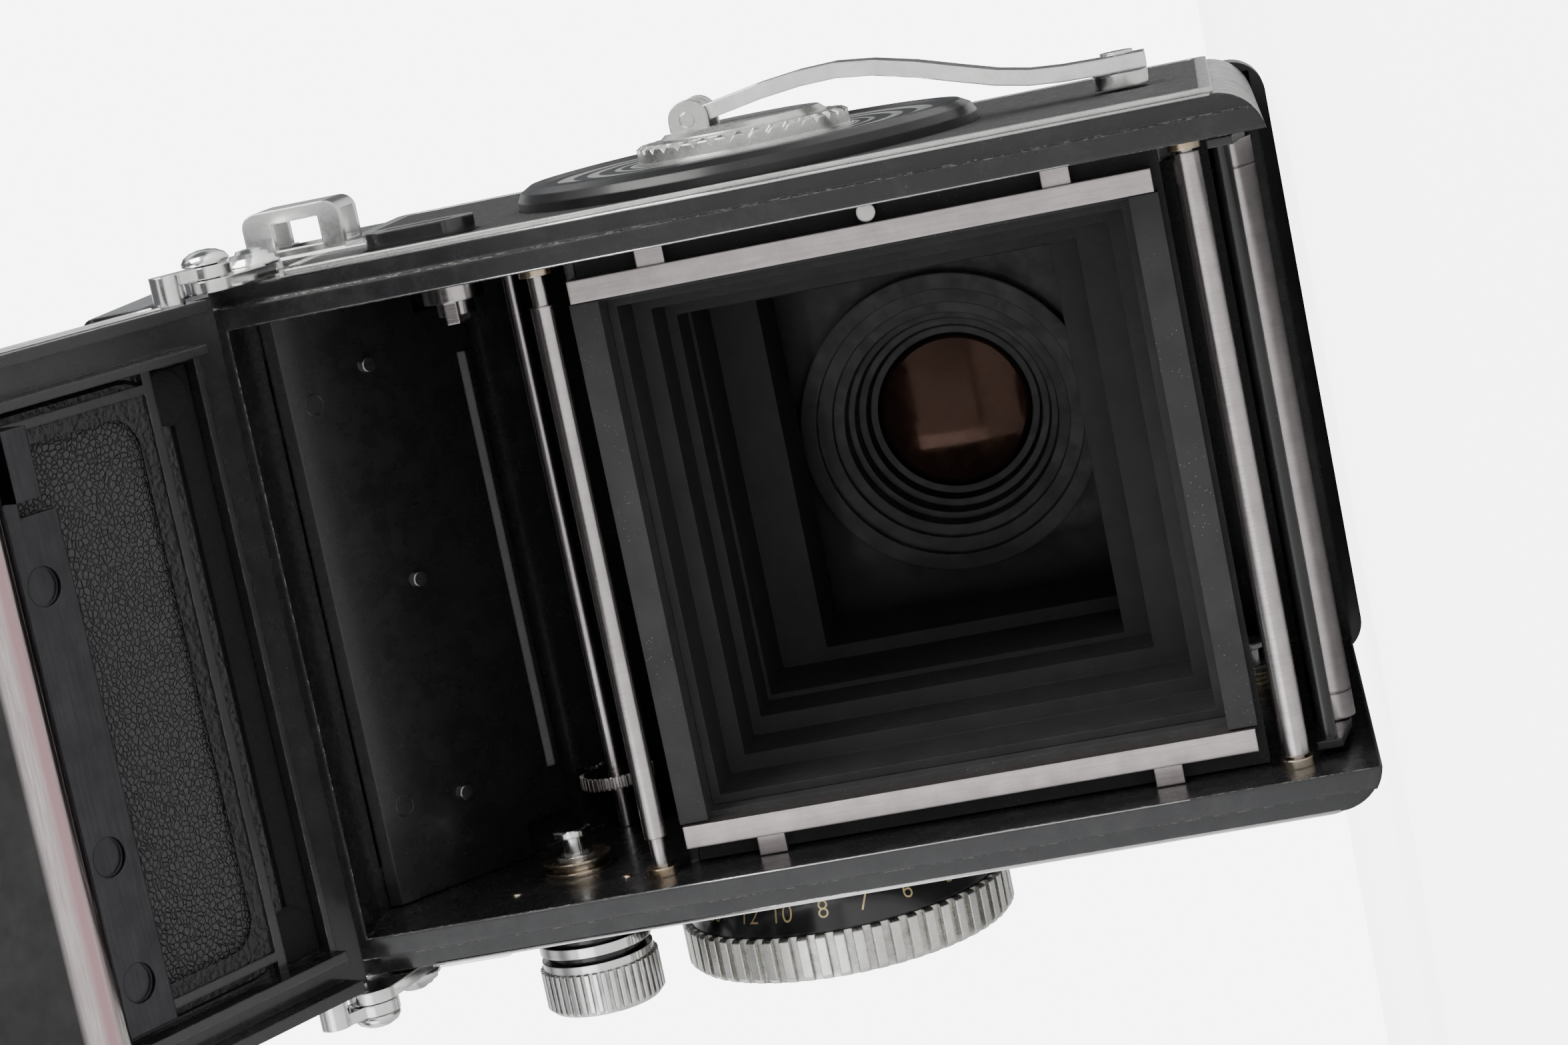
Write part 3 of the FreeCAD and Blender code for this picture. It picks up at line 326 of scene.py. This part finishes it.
def ring_paint(name, y0, z0, bands):
    """Satin black with bright turned rings round an axis along X."""
    m, nt, b = new_mat(name)
    v = mm_coords(nt)
    r = radial(nt, "x", y0, z0)
    mask = None
    for lo, hi in bands:
        k = band(nt, r, lo, hi)
        mask = k if mask is None else math_node(nt, "MAXIMUM", mask, k)
    scuff = ramp(nt, noise(nt, v, 1.4, 6, 0.7), [(0.25, 0.6), (0.45, 1.0)])
    mask = math_node(nt, "MULTIPLY", mask, scuff)
    base = mix(nt, noise(nt, v, 0.3, 4), (0.0045, 0.0045, 0.005), (0.010, 0.010, 0.0105))
    d = math_node(nt, "MULTIPLY", dust(nt, v, 0.6, 0.04), 0.4)
    col = mix(nt, mask, mix(nt, d, base, (0.4, 0.4, 0.38)), (0.82, 0.82, 0.81))
    nt.links.new(col, b.inputs["Base Color"])
    nt.links.new(mask, b.inputs["Metallic"])
    nt.links.new(mix(nt, noise(nt, v, 0.5, 5), 0.24, 0.42), b.inputs["Roughness"])
    b.inputs["Specular IOR Level"].default_value = 0.3
    b.inputs["Coat Weight"].default_value = 0.12
    b.inputs["Coat Roughness"].default_value = 0.15
    _, bn = edge_mask(nt, 0.0003, 0.05, 0.3)
    nt.links.new(bump(nt, noise(nt, v, 2.0, 4), 0.15, 0.00003, bn), b.inputs["Normal"])
    return m


ENAMEL = black_paint("enamel_black", base=(0.0085, 0.0085, 0.0092), rough=0.22, wear=0.3, specks=0.45, coat=0.45, peel=0.12, spec=0.35)
ENAMEL_RIM = black_paint("enamel_black_worn", base=(0.0075, 0.0075, 0.0082), wear=0.45, bev=0.00055, specks=0.8, rough=0.24, coat=0.25, peel=0.1, spec=0.3)
PANEL = black_paint("panel_black", base=(0.006, 0.006, 0.0065), rough=0.42, wear=0.05, specks=0.3, coat=0.15, peel=0.15, spec=0.3)
CHAMBER = black_paint("chamber_black", base=(0.0055, 0.0055, 0.006), rough=0.26, wear=0.0, specks=0.2, coat=0.3, peel=0.08)
# painted highlight: bright polished metal for the rods that stand in for the highlight lines along the casting's rim
RIM_HIGHLIGHT_METAL = metal("rim_line_painted_highlight", (0.72, 0.72, 0.71), rough=0.16, smudge=0.3, streak_amt=0.35, streak=(1, 1, 0.3), grain=0.1)
GLOSS = black_paint("gloss_black", rough=0.2, wear=0.15, peel=0.12, coat=0.5)
CRANK_RING = ring_paint("crank_ring_satin", 4.0, 55.5, [(19.2, 20.9), (16.4, 17.6), (13.9, 14.5), (12.3, 12.8)])
MATT = matt_black("matt_black", base=0.014, rough=0.6, specks=0.5)
MATT_SPECK = matt_black("matt_black_speckled", base=0.019, rough=0.7, specks=1.0, size=0.13, sc=2.2)
CRINKLE = crinkle("crinkle_black")
LEATHER = leather("leather_black", base=(0.007, 0.007, 0.0075), scale=1.5, rough=0.5)
CHROME = metal("chrome_polished", (0.84, 0.84, 0.83), rough=0.09, smudge=0.25, streak_amt=0.05, grain=0.05)
SATIN = metal("chrome_satin", (0.68, 0.68, 0.66), rough=0.26, smudge=0.3, streak_amt=0.12)
RAIL = metal("rail_aluminium", (0.47, 0.425, 0.415), rough=0.36, streak=(1, 1, 0.04), streak_amt=0.35, tint=(0.38, 0.34, 0.34), smudge=0.25, grain=0.5)
ROLLER = metal("roller_steel", (0.56, 0.52, 0.515), rough=0.2, streak=(1.6, 0.12, 0.12), streak_amt=0.22, smudge=0.2, grain=0.3)
BRASS = metal("bush_brass", (0.58, 0.51, 0.42), rough=0.25, tint=(0.50, 0.38, 0.24))
# painted shade in the knurl's recesses, by ambient occlusion
KNURL = metal("cut_aluminium", (0.74, 0.73, 0.69), rough=0.28, streak_amt=0.2, recess_shade=1.0, smudge=0.3)


def grooved_knob(name):
    """Bright knurled knob with its two turned grooves painted black."""
    m, nt, b = new_mat(name)
    v = mm_coords(nt)
    sep = nt.nodes.new("ShaderNodeSeparateXYZ")
    nt.links.new(v, sep.inputs[0])
    x = sep.outputs[0]
    g = math_node(nt, "MAXIMUM", band(nt, x, 39.56, 40.44, 0.03), band(nt, x, 41.56, 42.44, 0.03))
    # painted shade: the knurl's recesses, found by ambient occlusion, are coloured dark and made less metallic
    ao = nt.nodes.new("ShaderNodeAmbientOcclusion")
    ao.samples = 6
    ao.inputs["Distance"].default_value = 0.0006
    painted_shade = ramp(nt, ao.outputs["AO"], [(0.4, 1.0), (0.85, 0.0)])
    blot = noise(nt, v, 0.5, 5, 0.7)
    painted_shade = math_node(nt, "MULTIPLY", painted_shade, ramp(nt, blot, [(0.3, 0.4), (0.6, 1.0)]))
    c = mix(nt, blot, (0.82, 0.82, 0.81), (0.66, 0.65, 0.64))
    c = mix(nt, painted_shade, c, (0.09, 0.08, 0.07))
    nt.links.new(mix(nt, g, c, (0.006, 0.006, 0.006)), b.inputs["Base Color"])
    nt.links.new(math_node(nt, "MULTIPLY", math_node(nt, "SUBTRACT", 1.0, g), math_node(nt, "SUBTRACT", 1.0, math_node(nt, "MULTIPLY", painted_shade, 0.6))), b.inputs["Metallic"])
    nt.links.new(math_node(nt, "ADD", math_node(nt, "MULTIPLY", blot, 0.18), 0.04), b.inputs["Roughness"])
    _, bn = edge_mask(nt, 0.0002, 0.1, 0.3, 4)
    nt.links.new(bump(nt, noise(nt, v, 3.0, 4), 0.1, 0.00002, bn), b.inputs["Normal"])
    return m


GROOVED = grooved_knob("cut_grooved_chrome")
MIRROR = metal("mirror_silver", (0.88, 0.88, 0.88), rough=0.06, smudge=0.1, streak_amt=0.02, grain=0.02)
GREY = metal("grey_brushed_steel", (0.06, 0.06, 0.064), rough=0.34, streak=(0.05, 1, 1), streak_amt=0.4, smudge=0.3)


def closed_z(nt):
    """Height, in mm, of a point of the open back when the back is shut."""
    a = math.radians(122.0)
    tc = nt.nodes.new("ShaderNodeTexCoord")
    d = nt.nodes.new("ShaderNodeVectorMath")
    d.operation = "DOT_PRODUCT"
    nt.links.new(tc.outputs["Object"], d.inputs[0])
    d.inputs[1].default_value = (0, -1000 * math.sin(a), 1000 * math.cos(a))
    return math_node(nt, "ADD", d.outputs["Value"], 108.5 + 36.5 * math.sin(a) - 108.5 * math.cos(a))


def plate_steel(name):
    """Dark oiled face between two rolled edges polished by the film."""
    m, nt, b = new_mat(name)
    v = mm_coords(nt)
    z = closed_z(nt)
    face = band(nt, z, 21.4, 64.8, 0.5)
    lines = noise(nt, mm_coords(nt, (0.05, 1, 1)), 3.2, 6, 0.7)
    blot = noise(nt, v, 0.3, 5, 0.65)
    edge = mix(nt, ramp(nt, lines, [(0.32, 0.0), (0.66, 1.0)]), (0.66, 0.64, 0.63), (0.46, 0.36, 0.37))
    # painted reflection: a darker pinkish stripe along each rolled edge
    edge = mix(nt, math_node(nt, "MAXIMUM", band(nt, z, 67.0, 68.6, 0.5), band(nt, z, 17.4, 19.0, 0.5)), edge, (0.44, 0.28, 0.30))
    rub = mix(nt, ramp(nt, blot, [(0.35, 0.0), (0.7, 1.0)]), (0.012, 0.012, 0.013), (0.03, 0.029, 0.029))
    nt.links.new(mix(nt, face, edge, rub), b.inputs["Base Color"])
    nt.links.new(math_node(nt, "SUBTRACT", 1.0, math_node(nt, "MULTIPLY", face, 0.75)), b.inputs["Metallic"])
    nt.links.new(mix(nt, face, math_node(nt, "ADD", math_node(nt, "MULTIPLY", lines, 0.16), 0.06), 0.42), b.inputs["Roughness"])
    nt.links.new(bump(nt, lines, 0.25, 0.00002), b.inputs["Normal"])
    return m


PRESS = plate_steel("pressure_plate_polished")
GOLD = metal("figure_gold", (0.75, 0.60, 0.32), rough=0.4)
FELT = matt_black("felt_black", base=0.004, rough=0.95, specks=0.6, grain=3.0, strength=0.9, dist=0.0003)
PLASTIC = black_paint("black_plastic", rough=0.3, wear=0.0, peel=0.15, coat=0.1)
LENS = lens_glass("lens_coated_taking", 0.0, 43.0, (0.020, 0.010, 0.009))
LENS_V = lens_glass("lens_coated_viewing", 0.0, 85.0, (0.02, 0.016, 0.03))
SCREEN = matt_black("screen_ground", base=0.32, rough=0.55, specks=0.1, grain=9.0)

ASSIGN = {
    ENAMEL_RIM: ["body_casting"],
    ENAMEL: ["hood_frame", "hood_lid", "hood_leaf_crank", "hood_leaf_focus", "hood_leaf_back", "viewing_lens_barrel", "peep_window_cap", "back_cover", "magnifier_frame", "feeler_bracket"],
    GLOSS: ["counter_window", "focus_dial"],
    CRANK_RING: ["crank_dial_ring"],
    PANEL: ["lens_panel", "taking_lens_barrel"],
    CHAMBER: ["takeup_chamber_wall"],
    MATT: ["light_tunnel"],
    MATT_SPECK: ["film_gate_frame"],
    LEATHER: ["leatherette_crank", "leatherette_focus", "leatherette_back"],
    CHROME: ["back_hinge_ears", "strap_lugs", "hinge_cheeks", "hinge_pins", "crank_arm", "crank_handle", "tripod_socket"],
    SATIN: ["trim_strips", "front_nameplate", "speed_reminder_dial", "crank_hub", "shutter_housing", "shutter_release", "flash_socket", "back_latch"],
    RAIL: ["film_rails"],
    ROLLER: ["upper_film_roller", "gate_roller", "feeler_roller", "transfer_shaft", "takeup_drive_key", "supply_pivot", "chamber_screws", "panel_guide_rods"],
    BRASS: ["roller_bushings"],
    GROOVED: ["takeup_knob", "supply_knob"],
    KNURL: ["focus_knob", "aperture_wheel", "speed_wheel"],
    MIRROR: ["reflex_mirror"],
    GREY: ["pressure_plate_base"],
    PRESS: ["pressure_plate"],
    PLASTIC: ["feet"],
    LENS: ["taking_lens_glass"],
    LENS_V: ["viewing_lens_glass"],
    SCREEN: ["focusing_screen", "magnifier_lens"],
}
for m, names in ASSIGN.items():
    for n in names:
        o = NODE[n]
        for i in range(len(o.material_slots)):
            o.material_slots[i].material = m

# ---------------------------------------------------------------- shapes
A = math.radians(122.0)
HY, HZ = 36.5, 108.5


def swung(p):
    """A point of the shut back, in mm, carried to where the open back is."""
    x, y, z = p
    dy, dz = y - HY, z - HZ
    return (x, HY + dy * math.cos(A) - dz * math.sin(A), HZ + dy * math.sin(A) + dz * math.cos(A))


def mesh_piece(name, verts, faces, mat, body, slot, smooth=False, opened=False):
    if opened:
        verts = [swung(v) for v in verts]
    me = bpy.data.meshes.new(name)
    me.from_pydata([Vector(v) * MM for v in verts], [], faces)
    bm = bmesh.new()
    bm.from_mesh(me)
    bmesh.ops.remove_doubles(bm, verts=bm.verts, dist=1e-7)
    bmesh.ops.recalc_face_normals(bm, faces=bm.faces)
    bm.to_mesh(me)
    bm.free()
    for p in me.polygons:
        p.use_smooth = smooth
    me.materials.append(mat)
    o = bpy.data.objects.new(name, me)
    bpy.context.scene.collection.objects.link(o)
    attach(o, body)
    return o


def lathe(profile, axis, at, segs=64):
    """(along, radius) points in mm turned about an axis: verts and faces."""
    verts, faces = [], []
    n = len(profile)
    for i in range(segs):
        t = 2 * math.pi * i / segs
        for a, r in profile:
            c, s_ = r * math.cos(t), r * math.sin(t)
            d = {"+X": (a, c, s_), "-X": (-a, c, s_), "-Y": (c, -a, s_), "+Y": (c, a, s_)}[axis]
            verts.append((at[0] + d[0], at[1] + d[1], at[2] + d[2]))
    for i in range(segs):
        j = (i + 1) % segs
        for k in range(n - 1):
            faces.append((i * n + k, i * n + k + 1, j * n + k + 1, j * n + k))
    faces.append([i * n for i in range(segs)])
    faces.append([i * n + n - 1 for i in range(segs)])
    return verts, faces


def join(parts):
    verts, faces = [], []
    for v, f in parts:
        b = len(verts)
        verts += v
        faces += [tuple(i + b for i in q) for q in f]
    return verts, faces


def rounded_rect(x0, z0, x1, z1, r, n=6):
    pts = []
    for cx, cz, a0 in ((x1 - r, z1 - r, 0), (x0 + r, z1 - r, 90), (x0 + r, z0 + r, 180), (x1 - r, z0 + r, 270)):
        for i in range(n + 1):
            t = math.radians(a0 + 90.0 * i / n)
            pts.append((cx + r * math.cos(t), cz + r * math.sin(t)))
    return pts


def prism(outline, y0, y1, chamfer=0.0):
    """An (x, z) outline between two y levels; the y0 side's edge is chamfered inwards."""
    n = len(outline)
    if chamfer:
        cx = sum(p[0] for p in outline) / n
        cz = sum(p[1] for p in outline) / n
        inner = []
        for x, z in outline:
            inner.append((x - math.copysign(chamfer, x - cx), z - math.copysign(chamfer, z - cz)))
        levels = [(y0, inner), (y0 + (chamfer if y1 > y0 else -chamfer) * 0.7, outline), (y1, outline)]
    else:
        levels = [(y0, outline), (y1, outline)]
    verts = [(x, y, z) for y, ol in levels for x, z in ol]
    faces = [list(range(n)), list(range(n * (len(levels) - 1), n * len(levels)))]
    for k in range(len(levels) - 1):
        for i in range(n):
            j = (i + 1) % n
            faces.append((k * n + i, k * n + j, (k + 1) * n + j, (k + 1) * n + i))
    return verts, faces


def frame_prism(outer, inner, y0, y1, ch):
    """A flat frame between two outlines of equal count, raised to y0 with sloped sides."""
    n = len(outer)
    def shrink(ol, d):
        cx = sum(p[0] for p in ol) / n
        cz = sum(p[1] for p in ol) / n
        return [(x - math.copysign(d, x - cx), z - math.copysign(d, z - cz)) for x, z in ol]
    rings = [(y1, outer), (y0, shrink(outer, ch)), (y0, shrink(inner, -ch)), (y1, inner)]
    verts = [(x, y, z) for y, ol in rings for x, z in ol]
    faces = []
    for k in range(3):
        for i in range(n):
            j = (i + 1) % n
            faces.append((k * n + i, k * n + j, (k + 1) * n + j, (k + 1) * n + i))
    for i in range(n):
        j = (i + 1) % n
        faces.append((3 * n + i, 3 * n + j, j, i))
    return verts, faces


def bar(x0, y0, z0, x1, y1, z1, b=0.12):
    """A box with chamfered long edges."""
    o = [(x0 + b, y0), (x1 - b, y0), (x1, y0 + b), (x1, y1 - b), (x1 - b, y1), (x0 + b, y1), (x0, y1 - b), (x0, y0 + b)]
    verts = [(x, y, z) for z in (z0, z1) for x, y in o]
    faces = [list(range(8)), list(range(8, 16))] + [(i, (i + 1) % 8, 8 + (i + 1) % 8, 8 + i) for i in range(8)]
    return verts, faces


# ---------------------------------------------------------------- door interior
PEBBLE = leather("door_pebble", base=(0.020, 0.020, 0.0205), scale=1.6, rough=0.34)
panel_out = rounded_rect(-29.4, 3.0, 29.4, 95.6, 4.0)
mesh_piece("door_inner_pebble", *prism(panel_out, 36.74, 36.84), PEBBLE, "back", "black_leather", opened=True)
mesh_piece("door_inner_band", *frame_prism(rounded_rect(-31.6, 1.4, 31.6, 99.0, 5.6), rounded_rect(-28.4, 4.2, 28.4, 94.8, 3.4), 36.15, 36.82, 0.45), CRINKLE, "back", "black_enamel", opened=True)
mesh_piece("door_light_trap_strip", *join([bar(-31.4, 36.3, 99.4, 31.4, 36.82, 102.5, 0.1), bar(-31.6, 36.45, 2.2, -31.55, 36.82, 99.0, 0.01)]), FELT, "back", "black_enamel", opened=True)
mesh_piece("door_corner_bosses", *join([lathe([(-36.85, 3.0), (-36.2, 3.0), (-35.95, 2.7), (-35.9, 0.0)], "-Y", (x, 0, 98.8), 40) for x in (-28.6, 28.6)]), FELT, "back", "black_enamel", opened=True)
mesh_piece("door_edge_trims", *join([bar(x0, y0, 1.0, x1, y1, 101.2, 0.1) for x0, x1, y0, y1 in ((-37.55, -37.15, 37.75, 38.6), (-37.45, -37.15, 36.3, 37.2), (37.15, 37.55, 37.75, 38.6), (37.15, 37.45, 36.3, 37.2))]), CHROME, "back", "chrome", opened=True)

# ---------------------------------------------------------------- hinge screws and pins
pins = []
for s_, ax in ((-1, "-X"), (1, "+X")):
    pins.append(lathe([(38.9, 0.0), (38.9, 3.1), (39.35, 3.1), (39.5, 2.75), (39.9, 2.7), (40.0, 2.2), (40.35, 2.1), (40.45, 1.5), (40.75, 1.35), (40.85, 0.6), (40.9, 0.0)], ax, (0, 28.6, 106.0), 48))
    pins.append(lathe([(38.9, 0.0), (38.9, 1.18), (40.5, 1.2), (40.5, 2.2), (40.6, 2.5), (41.0, 2.5), (41.5, 2.15), (41.9, 1.4), (42.08, 0.6), (42.1, 0.0)], ax, (0, HY, HZ), 48))
o = mesh_piece("hinge_pins_turned", *join(pins), CHROME, "camera_body", "chrome", smooth=True)
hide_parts("hinge_pins")

# ---------------------------------------------------------------- lens elements, ground smooth
def dome(y_rim, y_mid, r, n=14):
    """Rim to middle of a spherical face, as (along, radius) points."""
    return [(y_rim + (y_mid - y_rim) * (1 - (1 - k / n) ** 2), r * (1 - k / n)) for k in range(n + 1)]


rear = [(51.0, 0.0), (51.0, 9.6), (49.7, 9.6)] + dome(49.7, 48.9, 9.5)[1:]
front = [(51.7, 0.0), (51.7, 11.3), (53.2, 11.3)] + dome(53.2, 55.7, 11.2)[1:]
glass_v, glass_f = join([lathe(front, "-Y", (0, 0, 43.0), 96), lathe(rear, "-Y", (0, 0, 43.0), 96)])
o = mesh_piece("taking_lens_ground", glass_v, glass_f, LENS, "lens_standard", "coated_glass", smooth=True)
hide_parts("taking_lens_glass")

# ---------------------------------------------------------------- rolled rim lines of the casting: thin bright metal rods, a painted highlight along the black rim edges
rods = []
def rod(x, y, z0, z1, r=0.16, n=10):
    vs = [(x + r * math.cos(2 * math.pi * i / n), y + r * math.sin(2 * math.pi * i / n), z) for z in (z0, z1) for i in range(n)]
    return vs, [list(range(n)), list(range(n, 2 * n))] + [(i, (i + 1) % n, n + (i + 1) % n, n + i) for i in range(n)]


for s_ in (-1, 1):
    rods.append(rod(s_ * 37.42, 32.83, 5.0, 102.0, 0.17))
    rods.append(rod(s_ * 33.32, 33.93, 20.0, 105.5, 0.10))
mesh_piece("rim_lines_painted_highlight", *join(rods), RIM_HIGHLIGHT_METAL, "camera_body", "chrome", smooth=True)

# ---------------------------------------------------------------- rivets and open holes of the take-up chamber
mesh_piece("chamber_rivets", *join([lathe([(-0.3, 0.0), (-0.3, 0.62), (0.06, 0.6), (0.2, 0.45), (0.27, 0.2), (0.28, 0.0)], "-X", (33.2, 26.14, z), 24) for z in (81.1, 93.4)]), BRASS, "camera_body", "bush_brass", smooth=True)


def on_slope(x, y, a, b, h):
    """A point a, b across the inclined wall from (x, y), h above it."""
    q = math.sqrt(0.5)
    return (x + a, y + b * q + h * q, y + 84.6 + b * q - h * q)


holes_v, holes_f = [], []
for hx in (-22.6, 22.6):
    base, n = len(holes_v), 28
    for r, h in ((1.25, 0.0), (1.2, 0.09), (1.0, 0.09), (0.95, -0.25)):
        holes_v += [on_slope(hx, 20.3, r * math.cos(2 * math.pi * i / n), r * math.sin(2 * math.pi * i / n), h) for i in range(n)]
    holes_f += [(base + k * n + i, base + k * n + (i + 1) % n, base + (k + 1) * n + (i + 1) % n, base + (k + 1) * n + i) for k in range(3) for i in range(n)]
    holes_f.append(tuple(base + 3 * n + i for i in range(n)))
mesh_piece("chamber_hole_eyelets", holes_v, holes_f, ENAMEL, "camera_body", "black_enamel", smooth=False)

# ---------------------------------------------------------------- figures on the focusing dial
def figures(items, up_x):
    verts, faces = [], []
    for text, deg in items:
        cu = bpy.data.curves.new("figure", "FONT")
        cu.body = text
        cu.size = 2.7
        cu.align_x = "CENTER"
        cu.align_y = "CENTER"
        cu.offset = -0.03
        ob = bpy.data.objects.new("figure", cu)
        bpy.context.scene.collection.objects.link(ob)
        me = bpy.data.meshes.new_from_object(ob.evaluated_get(bpy.context.evaluated_depsgraph_get()))
        b0 = len(verts)
        for q in me.vertices:
            x = up_x - q.co.y
            rad = 16.2 + (x - 38.2) * 0.3218 + 0.035
            t = math.radians(deg) - q.co.x / rad
            verts.append((x, 10.0 + rad * math.cos(t), 60.6 + rad * math.sin(t)))
        faces += [[b0 + i for i in p.vertices] for p in me.polygons]
        bpy.data.objects.remove(ob)
        bpy.data.meshes.remove(me)
        bpy.data.curves.remove(cu)
    return verts, faces


marks = [("20", 50), ("12", 31), ("10", 17), ("8", 1), ("7", -14), ("6", -31), ("5", -50), ("4", -72), ("3", -98), ("2", -128), ("1", -160)]
mesh_piece("focus_figures", *figures(marks, 40.3), GOLD, "focusing", "bush_brass")

# ---------------------------------------------------------------- stage
cam_data = bpy.data.cameras.new("photo_camera")
cam = bpy.data.objects.new("photo_camera", cam_data)
bpy.context.scene.collection.objects.link(cam)
right = Vector((0.1999, -0.1045, -0.9742))
down = Vector((0.9676, 0.1776, 0.1795))
fwd = right.cross(down).normalized()
up = fwd.cross(right) * -1.0
m3 = Matrix((right.normalized(), (-down).normalized(), (-fwd))).transposed()
cam.matrix_world = Matrix.Translation(Vector((-59.6, 394.0, 5.3)) * MM) @ m3.to_4x4()
cam_data.lens = 82.07
cam_data.sensor_width = 36.0
cam_data.clip_start = 0.01
cam_data.clip_end = 20
bpy.context.scene.camera = cam

w = bpy.data.worlds.new("studio")
bpy.context.scene.world = w
w.use_nodes = True
nt = w.node_tree
for n in list(nt.nodes):
    nt.nodes.remove(n)
wo = nt.nodes.new("ShaderNodeOutputWorld")
bg = nt.nodes.new("ShaderNodeBackground")
tcw = nt.nodes.new("ShaderNodeTexCoord")
wn = noise(nt, tcw.outputs["Generated"], 1.35, 1, 0.4)
nt.links.new(ramp(nt, wn, [(0.40, (0.16, 0.165, 0.17)), (0.50, (0.75, 0.76, 0.78)), (0.60, (1.35, 1.35, 1.35))]), bg.inputs["Color"])
bg.inputs["Strength"].default_value = 1.0
bgc = nt.nodes.new("ShaderNodeBackground")
bgc.inputs["Color"].default_value = (1.0, 1.0, 1.0, 1)
bgc.inputs["Strength"].default_value = 7.0
lp = nt.nodes.new("ShaderNodeLightPath")
mx = nt.nodes.new("ShaderNodeMixShader")
nt.links.new(lp.outputs["Is Camera Ray"], mx.inputs[0])
nt.links.new(bg.outputs[0], mx.inputs[1])
nt.links.new(bgc.outputs[0], mx.inputs[2])
nt.links.new(mx.outputs[0], wo.inputs[0])


def area(name, loc, target, size, power, color=(1, 1, 1), shape="RECTANGLE", size_y=None):
    ld = bpy.data.lights.new(name, "AREA")
    ld.shape = shape
    ld.size = size
    ld.size_y = size_y or size
    ld.energy = power
    ld.color = color
    o = bpy.data.objects.new(name, ld)
    bpy.context.scene.collection.objects.link(o)
    o.location = Vector(loc)
    o.rotation_mode = "QUATERNION"
    o.rotation_quaternion = (Vector(target) - Vector(loc)).to_track_quat("-Z", "Y")
    return o


mid = (0, 0.02, 0.055)
area("key", (-0.75, 0.35, 0.55), mid, 0.6, 14, (1.0, 0.99, 0.97))
area("fill", (0.6, 0.7, 0.1), mid, 0.9, 5, (0.96, 0.98, 1.0))
area("low_strip", (0.1, 0.45, -0.6), mid, 0.5, 5, (0.97, 0.98, 1.0))

fm = bpy.data.meshes.new("floor")
z = CAD_BOX[0].z - 0.0002
fm.from_pydata([(-3, -3, z), (3, -3, z), (3, 3, z), (-3, 3, z)], [], [(0, 1, 2, 3)])
floor = bpy.data.objects.new("floor", fm)
bpy.context.scene.collection.objects.link(floor)
m, nt, b = new_mat("floor_pale")
v = mm_coords(nt)
nt.links.new(mix(nt, noise(nt, v, 0.02, 3), (0.86, 0.86, 0.86), (0.9, 0.9, 0.9)), b.inputs["Base Color"])
b.inputs["Roughness"].default_value = 0.7
lpf = nt.nodes.new("ShaderNodeLightPath")
nt.links.new(mix(nt, noise(nt, v, 0.015, 2), (0.98, 0.98, 0.98), (1.0, 1.0, 1.0)), b.inputs["Emission Color"])
nt.links.new(math_node(nt, "MULTIPLY", lpf.outputs["Is Camera Ray"], 5.0), b.inputs["Emission Strength"])
fm.materials.append(m)
